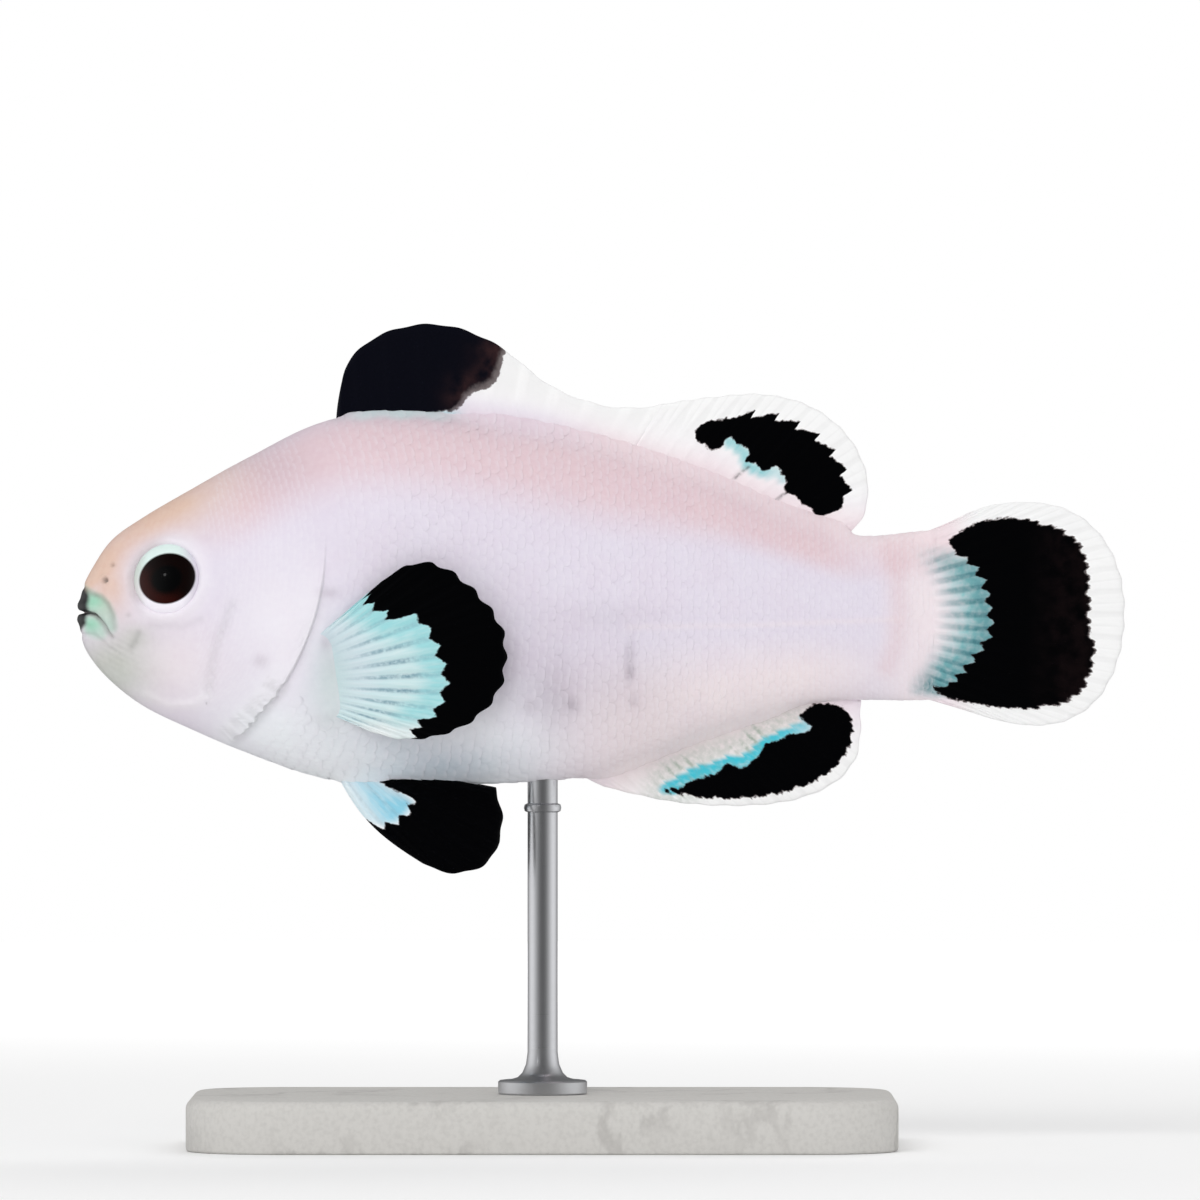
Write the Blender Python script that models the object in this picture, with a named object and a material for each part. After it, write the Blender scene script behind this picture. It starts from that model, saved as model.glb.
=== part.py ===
"""White and black clownfish, life size, as a still display model on a stand.

Metres, +Z up. The fish looks along -X, its left side faces -Y, and the model is the same on both
sides of Y = 0. The origin is on the floor under the middle of the fish's length.
Fish measures are written in millimetres from the snout tip (x) and from the body axis (z).
"""

import bisect
import math
from collections import namedtuple

import bmesh
import bpy
from mathutils import Matrix, Vector

MM = 0.001
TOTAL_LENGTH = 80.0
AXIS_HEIGHT = 41.0
GAP = 0.3
THINNEST = 0.05  # what a shrunken copy of the body keeps where it has no thickness left

# Distance from the snout, height of the back, height of the belly, half width.
BODY = (
    (0.0, -0.35, -0.35, 0.0),
    (0.3, 1.75, -2.55, 1.35),
    (1.1, 3.40, -4.00, 2.10),
    (2.5, 5.40, -5.55, 2.85),
    (5.0, 7.20, -7.45, 3.75),
    (8.5, 9.25, -9.15, 4.75),
    (13.0, 11.75, -11.05, 5.80),
    (19.0, 14.55, -13.00, 6.65),
    (25.0, 15.05, -13.40, 6.85),
    (32.0, 14.35, -13.35, 6.50),
    (40.0, 12.65, -12.55, 5.50),
    (48.0, 10.10, -9.60, 4.15),
    (55.0, 7.15, -7.45, 2.95),
    (60.0, 5.75, -6.95, 2.20),
    (65.5, 6.45, -7.20, 1.30),
)
BODY_LENGTH = BODY[-1][0]
BACK_FULLNESS, BELLY_FULLNESS = 1.95, 2.2  # exponents of the cross-section, 2 being an ellipse

GILL_CENTRE = (-0.33, 5.05)  # the gill opening and the cheek edge are arcs about this point
GILL_RADIUS = 19.36
CHEEK_RADIUS = 13.6
GILL_COVER_TOP, GILL_COVER_BOTTOM = -4.0, -50.0
GILL_COVER_LIFT, GILL_COVER_DEPTH = 0.2, 1.0
GILL_COVER_INNER = 1.2  # the left and right covers stop this far from the middle plane
TAIL_STEM_START = 57.5

EYE_AT = (6.8, 2.45)
EYE_RADIUS, EYE_DEPTH, EYE_SUNK = 2.75, 1.5, 0.7

MOUTH_CORNER = (2.7, -2.25)
MOUTH_TIP_Z = -0.1
LIP_DEPTH = 1.15
CHIN_END = (5.4, -9.0)

DORSAL_SPINES, DORSAL_RAYS, ANAL_RAYS, TAIL_RAYS = 11, 14, 13, 16
PECTORAL_RAYS, PELVIC_RAYS = 15, 6
PECTORAL_PIVOT, PECTORAL_TURN = (19.0, -4.9), (14.0, -11.0)  # turned out about Z, leaning about X
PECTORAL_SUNK = 0.3
PELVIC_PIVOT, PELVIC_TURN = (20.4, 1.55, -13.35), (5.0, 20.0)
WEB_NOTCH = 0.3  # how far a fin's web falls short of the tips of its rays
FIN_SUNK = 1.4  # how far a fin's root runs into the body before it is trimmed to the skin
FIN_CUP = 0.007  # inward curve of the paired fins, per square millimetre from the pivot
FIN_ROWS = 4

BASE_LENGTH, BASE_WIDTH, BASE_HEIGHT = 54.0, 31.0, 4.0
BASE_CORNER, BASE_CHAMFER = 7.0, 0.7
POST_AT = 35.5
POST_RADIUS = 1.15
POST_FOOT_RADIUS, POST_FOOT_HEIGHT = 3.4, 1.1

PAINTS = {
    "skin": ((0.80, 0.72, 0.75), 0.42, 0.0),
    "lip_black": ((0.02, 0.02, 0.025), 0.35, 0.0),
    "fin_black": ((0.015, 0.015, 0.02), 0.45, 0.0),
    "fin_cyan": ((0.42, 0.82, 0.80), 0.40, 0.0),
    "eye": ((0.02, 0.015, 0.015), 0.08, 0.0),
    "base": ((0.62, 0.62, 0.61), 0.40, 0.0),
    "post": ((0.72, 0.72, 0.73), 0.25, 1.0),
}


Fin = namedtuple("Fin", "rays root margin ray_thickness web_thickness bow")
Fin.__new__.__defaults__ = ((1.1, 0.6), (0.8, 0.5), (0.0, 0.0))
Fin.__doc__ = """A fin in the side view: the lines that its rays start and end on, front ray first, the
thickness of its rays and of the web between them at the root and at the tip, and how far its front
ray and its rear ray bow out of line."""


def world(x, y, z):
    """The place in metres of a point given in the fish's millimetres."""
    return Vector(((x - TOTAL_LENGTH / 2) * MM, y * MM, (z + AXIS_HEIGHT) * MM))


def smooth_curve(knots, values, at):
    """Value on the smooth curve through the knots, with each slope taken from a knot's neighbours."""

    def slope(k):
        a, b = max(k - 1, 0), min(k + 1, len(knots) - 1)
        return (values[b] - values[a]) / (knots[b] - knots[a])

    i = min(max(bisect.bisect_right(knots, at) - 1, 0), len(knots) - 2)
    span = knots[i + 1] - knots[i]
    t = (at - knots[i]) / span
    return (
        values[i] * (1 + 2 * t) * (1 - t) ** 2
        + slope(i) * span * t * (1 - t) ** 2
        + values[i + 1] * t * t * (3 - 2 * t)
        + slope(i + 1) * span * t * t * (t - 1)
    )


def path_point(points, t):
    """The point at share t of the smooth line through the points."""
    lengths = [0.0]
    for a, b in zip(points, points[1:]):
        lengths.append(lengths[-1] + math.dist(a, b))
    at = t * lengths[-1]
    return tuple(smooth_curve(lengths, [p[k] for p in points], at) for k in range(len(points[0])))


def body_at(x):
    """Height of the back, height of the belly and half width at a distance from the snout.
    The blunt snout makes them smooth in the square root of that distance."""
    knots = [math.sqrt(row[0]) for row in BODY]
    at = math.sqrt(min(max(x, 0.0), BODY_LENGTH))
    return [smooth_curve(knots, [row[k] for row in BODY], at) for k in (1, 2, 3)]


def body_point(x, angle, grow=0.0):
    """A point on the skin. Angle 0 is the right flank and a quarter turn is the back."""
    back, belly, half = body_at(x)
    middle = (back + belly) / 2
    reach = (back - belly) / 2
    side, up = math.cos(angle), math.sin(angle)
    power = 2 / (BACK_FULLNESS if up > 0 else BELLY_FULLNESS)
    y = math.copysign(abs(side) ** power, side) * max(half + grow, THINNEST)
    z = middle + math.copysign(abs(up) ** power, up) * max(reach + grow, THINNEST)
    return Vector((x, y, z))


def flank(x, z):
    """Half width of the body at a point of the side view."""
    back, belly, half = body_at(x)
    middle = (back + belly) / 2
    level = min(abs(z - middle) / ((back - belly) / 2), 1.0)
    power = BACK_FULLNESS if z > middle else BELLY_FULLNESS
    return half * (1 - level**power) ** (1 / power)


def object_of(bm, name, paint, helper=False):
    bmesh.ops.recalc_face_normals(bm, faces=bm.faces)
    if bm.calc_volume(signed=True) < 0:
        bmesh.ops.reverse_faces(bm, faces=bm.faces)
    mesh = bpy.data.meshes.new(name)
    bm.to_mesh(mesh)
    bm.free()
    mesh.materials.append(material(paint))
    mesh.shade_smooth()
    mesh.set_sharp_from_angle(angle=math.radians(40))
    obj = bpy.data.objects.new(name, mesh)
    bpy.context.scene.collection.objects.link(obj)
    if helper:
        obj.hide_render = True
        obj.display_type = "WIRE"
    return obj


def material(name):
    if name in bpy.data.materials:
        return bpy.data.materials[name]
    colour, roughness, metallic = PAINTS[name]
    made = bpy.data.materials.new(name)
    made.use_nodes = True
    shader = made.node_tree.nodes["Principled BSDF"]
    shader.inputs["Base Color"].default_value = (*colour, 1.0)
    shader.inputs["Roughness"].default_value = roughness
    shader.inputs["Metallic"].default_value = metallic
    return made


def boolean(obj, operation, *cutters):
    """Cuts or keeps in the order given, and leaves the result as the object's own mesh."""
    for cutter in cutters:
        step = obj.modifiers.new(operation.lower(), "BOOLEAN")
        step.operation = operation
        step.object = cutter
        step.solver = "EXACT"
    graph = bpy.context.evaluated_depsgraph_get()
    mesh = bpy.data.meshes.new_from_object(obj.evaluated_get(graph))
    obj.modifiers.clear()
    obj.data = mesh
    return obj


def body_solid(name, along=36, around=28, grow=0.0, helper=False):
    """The whole body from snout to tail root: a sphere whose rings are set out closer at the snout."""
    crowding = 0.8
    bm = bmesh.new()
    bmesh.ops.create_uvsphere(bm, u_segments=around, v_segments=along, radius=1)
    for vert in bm.verts:
        u = math.acos(max(-1.0, min(1.0, vert.co.z))) / math.pi
        angle = math.atan2(vert.co.y, vert.co.x)
        ring = (u * along - 0.9) / (along - 1.9) if 0 < u < 1 else round(u)
        ring = min(max(ring, 0.0), 1.0)
        x = BODY_LENGTH * (crowding * ring * ring + (1 - crowding) * ring)
        point = body_point(x, angle, grow)
        if u in (0, 1):
            back, belly, _ = body_at(x)
            point = Vector((x, 0.0, (back + belly) / 2))
        point.x += (2 * ring - 1) * grow
        vert.co = world(*point)
    return object_of(bm, name, "skin", helper)


def prism(name, outline, near, far):
    """A helper solid: a side-view outline drawn out from y = near to y = far."""
    bm = bmesh.new()
    face = bm.faces.new([bm.verts.new(world(x, near, z)) for x, z in outline])
    made = bmesh.ops.extrude_face_region(bm, geom=[face])["geom"]
    shift = Vector((0, (far - near) * MM, 0))
    bmesh.ops.translate(bm, vec=shift, verts=[g for g in made if isinstance(g, bmesh.types.BMVert)])
    return object_of(bm, name, "skin", helper=True)


def arc(centre, radius, start, end, steps=24):
    """Points on an arc of the side view, its angles in degrees."""
    turns = [math.radians(start + (end - start) * k / steps) for k in range(steps + 1)]
    return [(centre[0] + radius * math.cos(a), centre[1] + radius * math.sin(a)) for a in turns]


def gill_sector(name, side, grow):
    """The helper that bounds a gill cover: the part of a ring between the cheek edge and the gill opening."""
    top, bottom = GILL_COVER_TOP + grow * 3, GILL_COVER_BOTTOM - grow * 3
    outline = arc(GILL_CENTRE, GILL_RADIUS - GAP / 2 + grow, top, bottom)
    outline += arc(GILL_CENTRE, CHEEK_RADIUS - grow, bottom, top)
    return prism(name, outline, side * (GILL_COVER_INNER - grow), side * 12.0)


def make_gill_cover(name, side):
    cover = body_solid(name, grow=GILL_COVER_LIFT)
    inner = body_solid(name + "_inner", grow=-GILL_COVER_DEPTH, helper=True)
    boolean(cover, "INTERSECT", gill_sector(name + "_sector", side, 0.0))
    return boolean(cover, "DIFFERENCE", inner)


def gill_pocket(name, side):
    """The hollow in the head that a gill cover fills, a gap larger all round."""
    pocket = gill_sector(name, side, GAP)
    inner = body_solid(name + "_floor", grow=-(GILL_COVER_DEPTH + GAP), helper=True)
    return boolean(pocket, "DIFFERENCE", inner)


def mouth_outlines():
    """Side-view outlines of the upper lip and the lower jaw, which meet along the mouth's line."""
    cx, cz = MOUTH_CORNER
    mouth = [(-1.0, MOUTH_TIP_Z), (cx * 0.4, MOUTH_TIP_Z - 0.55), (cx, cz)]
    lip = [(-1.0, 1.9), (1.0, 1.75), (cx + 0.2, cz + LIP_DEPTH + 0.35), (cx + 0.75, cz - 0.1)]
    jaw = [(cx + 0.75, cz - 0.4), (cx + 1.2, cz - 1.6), CHIN_END, (-1.0, -9.0)]
    return mouth, lip, jaw


def offset_down(points, drop):
    return [(x, z - drop) for x, z in points]


def grown(outline, by):
    """A closed outline moved outwards by a distance, corner by corner."""
    area = sum(a[0] * b[1] - b[0] * a[1] for a, b in zip(outline, outline[1:] + outline[:1]))
    turn = 1 if area > 0 else -1
    moved = []
    for before, here, after in zip(outline[-1:] + outline[:-1], outline, outline[1:] + outline[:1]):
        one = Vector((here[0] - before[0], here[1] - before[1])).normalized()
        two = Vector((after[0] - here[0], after[1] - here[1])).normalized()
        out = (Vector((one.y, -one.x)) + Vector((two.y, -two.x))) * turn
        out = out.normalized() * by / max(0.35, math.sqrt((1 + one.dot(two)) / 2))
        moved.append((here[0] + out.x, here[1] + out.y))
    return moved


def make_face():
    """The head, the upper lip and the lower jaw, parted by thin cuts."""
    mouth, lip, jaw = mouth_outlines()
    upper = prism("lip_region", mouth + lip[::-1], -5.0, 5.0)
    lower = prism("jaw_region", offset_down(mouth, GAP) + jaw, -5.0, 5.0)
    upper_room = prism("lip_room", grown(mouth + lip[::-1], GAP), -6.0, 6.0)
    lower_room = prism("jaw_room", grown(offset_down(mouth, GAP) + jaw, GAP), -6.0, 6.0)
    boolean(body_solid("upper_lip"), "INTERSECT", upper).data.materials[0] = material("lip_black")
    boolean(body_solid("lower_jaw"), "INTERSECT", lower)

    head = body_solid("head")
    front = gill_cylinder("head_region", GILL_RADIUS - GAP / 2)
    boolean(head, "INTERSECT", front)
    boolean(head, "DIFFERENCE", upper_room, lower_room)
    for side, label in ((-1, "left"), (1, "right")):
        make_gill_cover("gill_cover_" + label, side)
        boolean(head, "DIFFERENCE", gill_pocket("gill_pocket_" + label, side))
        make_eye("eye_" + label, side)
        socket = make_eye("eye_socket_" + label, side, grow=GAP, helper=True)
        boolean(head, "DIFFERENCE", socket)


def gill_cylinder(name, radius):
    """Everything in front of the gill opening, which is an arc in the side view."""
    bm = bmesh.new()
    turn = Matrix.Rotation(math.pi / 2, 4, "X")
    place = Matrix.Translation(world(GILL_CENTRE[0], 0, GILL_CENTRE[1])) @ turn
    bmesh.ops.create_cone(
        bm, cap_ends=True, segments=120, radius1=radius * MM, radius2=radius * MM, depth=30 * MM, matrix=place
    )
    return object_of(bm, name, "skin", helper=True)


def make_trunk():
    """The trunk and the tail stem behind the gill opening."""
    trunk = body_solid("trunk")
    boolean(trunk, "DIFFERENCE", gill_cylinder("trunk_front", GILL_RADIUS + GAP / 2))
    boolean(trunk, "DIFFERENCE", tail_block("tail_room", TAIL_STEM_START - GAP))
    boolean(body_solid("tail_stem"), "INTERSECT", tail_block("tail_region", TAIL_STEM_START))


def tail_block(name, start):
    """The helper that holds all of the body behind a distance from the snout."""
    end, reach = BODY_LENGTH + 5, TOTAL_LENGTH / 4
    return prism(name, [(start, -reach), (end, -reach), (end, reach), (start, reach)], -reach, reach)


def make_eye(name, side, grow=0.0, helper=False):
    """A flattened ball that sits in the head along the skin's own direction."""
    x, z = EYE_AT
    step = 0.2
    along = Vector((2 * step, flank(x + step, z) - flank(x - step, z), 0))
    rise = Vector((0, flank(x, z + step) - flank(x, z - step), 2 * step))
    out = -along.cross(rise).normalized()
    out = Vector((out.x, abs(out.y) * side, out.z))
    across = Vector((1, 0, 0)) - out * out.x
    across.normalize()
    centre = Vector((x, side * flank(x, z), z)) - out * EYE_SUNK
    turned = Matrix((across, out.cross(across), out)).transposed().to_4x4()
    bm = bmesh.new()
    bmesh.ops.create_uvsphere(bm, u_segments=16, v_segments=10, radius=1)
    round_size, deep = (EYE_RADIUS + grow) * MM, (EYE_DEPTH + grow) * MM
    size = Matrix.Diagonal((round_size, round_size, deep, 1))
    bmesh.ops.transform(bm, matrix=Matrix.Translation(world(*centre)) @ turned @ size, verts=bm.verts)
    return object_of(bm, name, "eye", helper)


def fin_blade(fin):
    """A fin of rays and webs as a closed blade in the side view's plane."""
    columns, rows = 2 * (fin.rays - 1), FIN_ROWS
    bm = bmesh.new()
    bmesh.ops.create_grid(bm, x_segments=columns, y_segments=rows, size=0.5)
    left = set(bm.verts)
    bmesh.ops.extrude_face_region(bm, geom=bm.faces[:])
    for vert in bm.verts:
        column, row = round((vert.co.x + 0.5) * columns), round((vert.co.y + 0.5) * rows)
        x, half, z = fin_point(fin, column / columns, row / rows, on_web=column % 2)
        vert.co = (x, -half if vert in left else half, z)
    return bm


def fin_point(fin, u, v, on_web):
    """(x, half thickness, z) at share u from the front ray to the rear one and share v along the ray."""
    start, end = Vector(path_point(fin.root, u)), Vector(path_point(fin.margin, u))
    ray = end - start
    point = start + ray * v * (1 - WEB_NOTCH / ray.length if on_web else 1)
    across = Vector((ray.y, -ray.x)).normalized()
    bow = fin.bow[0] + (fin.bow[1] - fin.bow[0]) * u
    point += across * bow * math.sin(math.pi * v)
    at_root, at_tip = fin.web_thickness if on_web else fin.ray_thickness
    half = (at_tip + (at_root - at_tip) * (1 - v) ** 2) / 2
    return point.x, half, point.y


def finish_fin(bm, name, paint, trim=True):
    """Places a blade in the world and trims it to the body, with the gap that neighbours keep."""
    for vert in bm.verts:
        vert.co = world(*vert.co)
    fin = object_of(bm, name, paint)
    return boolean(fin, "DIFFERENCE", bpy.data.objects["body_room"]) if trim else fin


def sunk_root(start, end, upper, steps=5):
    """The line along the back or the belly that a fin stands on, sunk into the body."""
    line = []
    for k in range(steps + 1):
        x = start + (end - start) * k / steps
        back, belly, _ = body_at(x)
        line.append((x, back - FIN_SUNK) if upper else (x, belly + FIN_SUNK))
    return line


def make_middle_fins():
    """The fins of the back, the belly and the tail, which stand on the middle plane."""
    spiny = Fin(
        rays=DORSAL_SPINES,
        root=sunk_root(20.0, 41.6, upper=True),
        margin=[
            (20.35, 18.2), (21.6, 20.2), (24.2, 21.6), (28.4, 21.8),
            (32.2, 20.3), (36.2, 17.2), (40.0, 15.75), (44.3, 15.7),
        ],
        ray_thickness=(1.2, 0.7),
        web_thickness=(0.85, 0.55),
    )
    soft = Fin(
        rays=DORSAL_RAYS,
        root=sunk_root(42.1, 58.6, upper=True),
        margin=[
            (44.9, 15.75), (48.5, 16.3), (52.5, 16.5), (56.0, 15.6),
            (58.8, 13.4), (60.25, 10.6), (60.2, 8.0), (59.4, 6.4),
        ],
        bow=(-0.2, -0.3),
    )
    anal = Fin(
        rays=ANAL_RAYS,
        root=sunk_root(38.8, 58.6, upper=False),
        margin=[
            (40.8, -13.55), (43.0, -14.15), (46.0, -14.75), (50.5, -15.0), (54.5, -14.6),
            (57.6, -13.4), (59.3, -11.7), (59.75, -9.9), (59.75, -7.6),
        ],
        bow=(0.3, 0.3),
    )
    tail = Fin(
        rays=TAIL_RAYS,
        root=[(BODY_LENGTH + GAP, 6.3), (BODY_LENGTH + GAP, -0.4), (BODY_LENGTH + GAP, -7.1)],
        margin=[
            (68.2, 7.75), (70.0, 8.2), (73.0, 8.3), (75.8, 7.9), (78.1, 6.3), (79.6, 3.6), (80.0, 0.2),
            (79.85, -3.0), (79.2, -5.6), (77.9, -7.6), (75.6, -8.75), (72.6, -8.95), (70.4, -8.5),
            (68.4, -7.9),
        ],
        ray_thickness=(2.2, 0.6),
        web_thickness=(1.9, 0.5),
    )
    finish_fin(fin_blade(spiny), "dorsal_fin_spiny", "fin_black")
    finish_fin(fin_blade(soft), "dorsal_fin_soft", "fin_black")
    finish_fin(fin_blade(anal), "anal_fin", "fin_black")
    finish_fin(fin_blade(tail), "tail_fin", "fin_black", trim=False)


def make_paired_fins():
    """The pectoral and pelvic fins, drawn flat about their own pivots and then put on each side."""
    pectoral = Fin(
        rays=PECTORAL_RAYS,
        root=[(-1.3, 2.3), (-1.8, 0.6), (-1.5, -1.2), (-0.7, -2.6)],
        margin=[
            (4.8, 7.2), (6.8, 8.4), (8.8, 8.5), (10.8, 7.3), (12.9, 5.1), (13.9, 3.2), (14.0, 1.0),
            (13.5, -1.2), (12.3, -2.9), (10.5, -4.2), (8.0, -5.0), (5.6, -5.1), (3.4, -4.5),
        ],
        ray_thickness=(1.3, 0.6),
        web_thickness=(1.3, 0.5),
    )
    pelvic = Fin(
        rays=PELVIC_RAYS,
        root=[(-0.9, 1.4), (0.5, 1.4), (1.9, 1.3), (3.1, 1.1)],
        margin=[
            (6.2, -6.2), (7.9, -6.9), (9.7, -6.75), (11.2, -5.8), (11.9, -4.2), (12.1, -2.4), (11.7, -0.5),
        ],
        ray_thickness=(1.3, 0.65),
        web_thickness=(1.0, 0.55),
        bow=(0.9, 0.0),
    )
    shoulder_x, shoulder_z = PECTORAL_PIVOT
    shoulder = (shoulder_x, flank(shoulder_x, shoulder_z) - PECTORAL_SUNK, shoulder_z)
    for side, label in ((-1, "left"), (1, "right")):
        place_paired_fin("pectoral_fin_" + label, "fin_cyan", pectoral, side, shoulder, PECTORAL_TURN)
        place_paired_fin("pelvic_fin_" + label, "fin_black", pelvic, side, PELVIC_PIVOT, PELVIC_TURN)


def place_paired_fin(name, paint, fin, side, pivot, turn):
    """Cups a blade towards the body, leans it out about its pivot and mirrors it to its side."""
    spread, lean = (math.radians(angle) for angle in turn)
    place = Matrix.Diagonal((1, side, 1, 1)) @ Matrix.Translation(pivot)
    place = place @ Matrix.Rotation(spread, 4, "Z") @ Matrix.Rotation(lean, 4, "X")
    bm = fin_blade(fin)
    for vert in bm.verts:
        vert.co.y -= FIN_CUP * (vert.co.x**2 + 0.5 * vert.co.z**2)
    bmesh.ops.transform(bm, matrix=place, verts=bm.verts)
    finish_fin(bm, name, paint)


def make_stand_base():
    """A flat slab with rounded corners and a softened top edge."""
    bm = bmesh.new()
    bmesh.ops.create_cube(bm, size=1)
    size = Matrix.Diagonal((BASE_LENGTH * MM, BASE_WIDTH * MM, BASE_HEIGHT * MM, 1))
    centre = Matrix.Translation((world(POST_AT, 0, 0).x, 0, BASE_HEIGHT / 2 * MM))
    bmesh.ops.transform(bm, matrix=centre @ size, verts=bm.verts)
    upright = [e for e in bm.edges if abs(e.verts[0].co.z - e.verts[1].co.z) > MM]
    bmesh.ops.bevel(
        bm, geom=upright, offset=BASE_CORNER * MM, affect="EDGES", segments=7, profile=0.5, material=-1
    )
    top = BASE_HEIGHT * MM
    rim = [e for e in bm.edges if all(abs(v.co.z - top) < 0.001 * MM for v in e.verts)]
    bmesh.ops.bevel(
        bm, geom=rim, offset=BASE_CHAMFER * MM, affect="EDGES", segments=2, profile=0.5, material=-1
    )
    object_of(bm, "stand_base", "base")


def make_stand_post():
    """A turned post with a flange at its foot, which ends just under the belly."""
    centre = world(POST_AT, 0, 0).x
    radius, flange = POST_RADIUS, POST_FOOT_RADIUS
    tip = AXIS_HEIGHT + body_at(POST_AT)[1] - GAP
    foot = BASE_HEIGHT + GAP
    collar = foot + POST_FOOT_HEIGHT
    profile = [
        (0.0, tip), (radius, tip), (radius, collar + 1.0), (radius + 0.35, collar + 0.3),
        (radius + 1.0, collar), (flange - 0.3, collar), (flange, collar - 0.3), (flange, foot), (0.0, foot),
    ]
    bm = bmesh.new()
    verts = [bm.verts.new((centre + r * MM, 0, z * MM)) for r, z in profile]
    edges = [bm.edges.new(pair) for pair in zip(verts, verts[1:])]
    turn = {"cent": (centre, 0, 0), "axis": (0, 0, 1), "angle": 2 * math.pi, "steps": 24}
    bmesh.ops.spin(bm, geom=verts + edges, use_merge=True, **turn)
    bmesh.ops.remove_doubles(bm, verts=bm.verts, dist=0.001 * MM)
    boolean(object_of(bm, "stand_post", "post"), "DIFFERENCE", bpy.data.objects["body_room"])


def main():
    for obj in list(bpy.data.objects):
        bpy.data.objects.remove(obj)
    body_solid("body_room", grow=GAP, helper=True)
    make_face()
    make_trunk()
    make_middle_fins()
    make_paired_fins()
    make_stand_base()
    make_stand_post()


main()
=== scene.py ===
"""Looks of the white and black clownfish: skin, scales, fins, eyes, stand and stage.

Laid out as an add-on and run as a script. Fish measures are written in millimetres from the
snout tip (x), from the middle plane (y) and from the body axis (z), as in the solids, and are
turned to metres in one place. The fish looks along -X and its left side faces -Y.
"""

import functools
import math
from collections import namedtuple

import bmesh
import bpy
import numpy as np
from mathutils import Matrix, Vector


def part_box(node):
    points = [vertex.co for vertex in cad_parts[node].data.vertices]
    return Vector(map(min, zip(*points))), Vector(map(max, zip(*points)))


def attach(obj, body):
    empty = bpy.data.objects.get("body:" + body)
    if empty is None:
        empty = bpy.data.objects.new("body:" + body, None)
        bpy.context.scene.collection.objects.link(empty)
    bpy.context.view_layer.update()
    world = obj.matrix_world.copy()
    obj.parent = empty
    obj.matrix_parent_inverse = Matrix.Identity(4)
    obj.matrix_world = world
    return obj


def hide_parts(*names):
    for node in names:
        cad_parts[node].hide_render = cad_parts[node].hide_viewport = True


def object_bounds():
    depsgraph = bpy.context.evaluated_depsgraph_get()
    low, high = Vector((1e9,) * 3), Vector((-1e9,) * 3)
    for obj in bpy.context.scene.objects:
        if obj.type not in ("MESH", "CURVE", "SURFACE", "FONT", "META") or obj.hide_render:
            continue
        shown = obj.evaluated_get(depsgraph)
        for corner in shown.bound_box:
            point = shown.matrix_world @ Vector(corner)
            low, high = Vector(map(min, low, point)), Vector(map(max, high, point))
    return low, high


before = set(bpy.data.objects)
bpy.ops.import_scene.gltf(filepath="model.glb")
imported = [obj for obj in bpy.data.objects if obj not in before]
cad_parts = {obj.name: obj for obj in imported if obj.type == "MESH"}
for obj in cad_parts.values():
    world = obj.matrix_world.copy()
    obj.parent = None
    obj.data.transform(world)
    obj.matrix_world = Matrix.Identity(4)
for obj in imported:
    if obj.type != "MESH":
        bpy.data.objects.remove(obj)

bl_info = {
    "name": "Clownfish display model",
    "version": (1, 0, 0),
    "blender": (4, 5, 0),
    "location": "3D View > Sidebar > Clownfish",
    "description": "Builds the looks of a life-size clownfish on a stand around its solids",
    "category": "Object",
}

once = functools.lru_cache(maxsize=None)  # keeps what a function returns for the next call

CAD_LOW, CAD_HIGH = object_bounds()
FISH_LENGTH = 80.0
MM = (CAD_HIGH.x - CAD_LOW.x) / FISH_LENGTH
SNOUT = CAD_LOW.x
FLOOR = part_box("stand_base")[0].z
AXIS_HEIGHT = 41.0
AXIS = FLOOR + AXIS_HEIGHT * MM

# Distance from the snout, height of the back, height of the belly, half width.
BODY = np.array((
    (0.0, -0.35, -0.35, 0.0),
    (0.3, 1.75, -2.55, 1.35),
    (1.1, 3.40, -4.00, 2.10),
    (2.5, 5.40, -5.55, 2.85),
    (5.0, 7.20, -7.45, 3.75),
    (8.5, 9.25, -9.15, 4.75),
    (13.0, 11.75, -11.05, 5.80),
    (19.0, 14.55, -13.00, 6.65),
    (25.0, 15.05, -13.40, 6.85),
    (32.0, 14.35, -13.35, 6.50),
    (40.0, 12.65, -12.55, 5.50),
    (48.0, 10.10, -9.60, 4.15),
    (55.0, 7.15, -7.45, 2.95),
    (60.0, 5.75, -6.95, 2.20),
    (65.5, 6.45, -7.20, 1.30),
))
BACK_FULLNESS, BELLY_FULLNESS = 1.95, 2.2  # exponents of the cross-section, 2 being an ellipse
SKIN_END = 66.4
TAIL_THINS = (61.5, 66.9)  # the skin dives into the tail fin between these
TAIL_END_HALF = 0.78

GILL_CENTRE, GILL_RADIUS = (-0.33, 5.05), 19.36
GILL_STATION = GILL_CENTRE[0] + GILL_RADIUS  # the ring that follows the gill opening
GILL_SPINES = (-50.0, -33.0)  # degrees between which the gill cover's edge is spiny
GILL_FADES = (-14.0, 4.0)  # degrees between which the gill opening runs out towards the back
WARP_END = 42.0  # from here on the skin's rings are upright again
FIN_CUP = 0.007  # how far the paired fins hollow towards the body, per square millimetre from the root

EYE_AT = (6.8, 2.45)
EYE_RADIUS, EYE_DEPTH, EYE_SUNK = 2.73, 1.47, 0.7
NOSTRIL, PORE = (2.11, 2.3), (2.67, 3.5)
SHOULDER = ((18.5, -2.9), (18.6, -5.2), (19.2, -7.3))  # the swelling that the pectoral fin grows from

SNOUT_RINGS, HEAD_RINGS, BODY_RINGS = 46, 130, 196
SNOUT_END = 3.0
COLUMNS = 256  # of the skin's mesh, counted round the body from the belly

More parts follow.
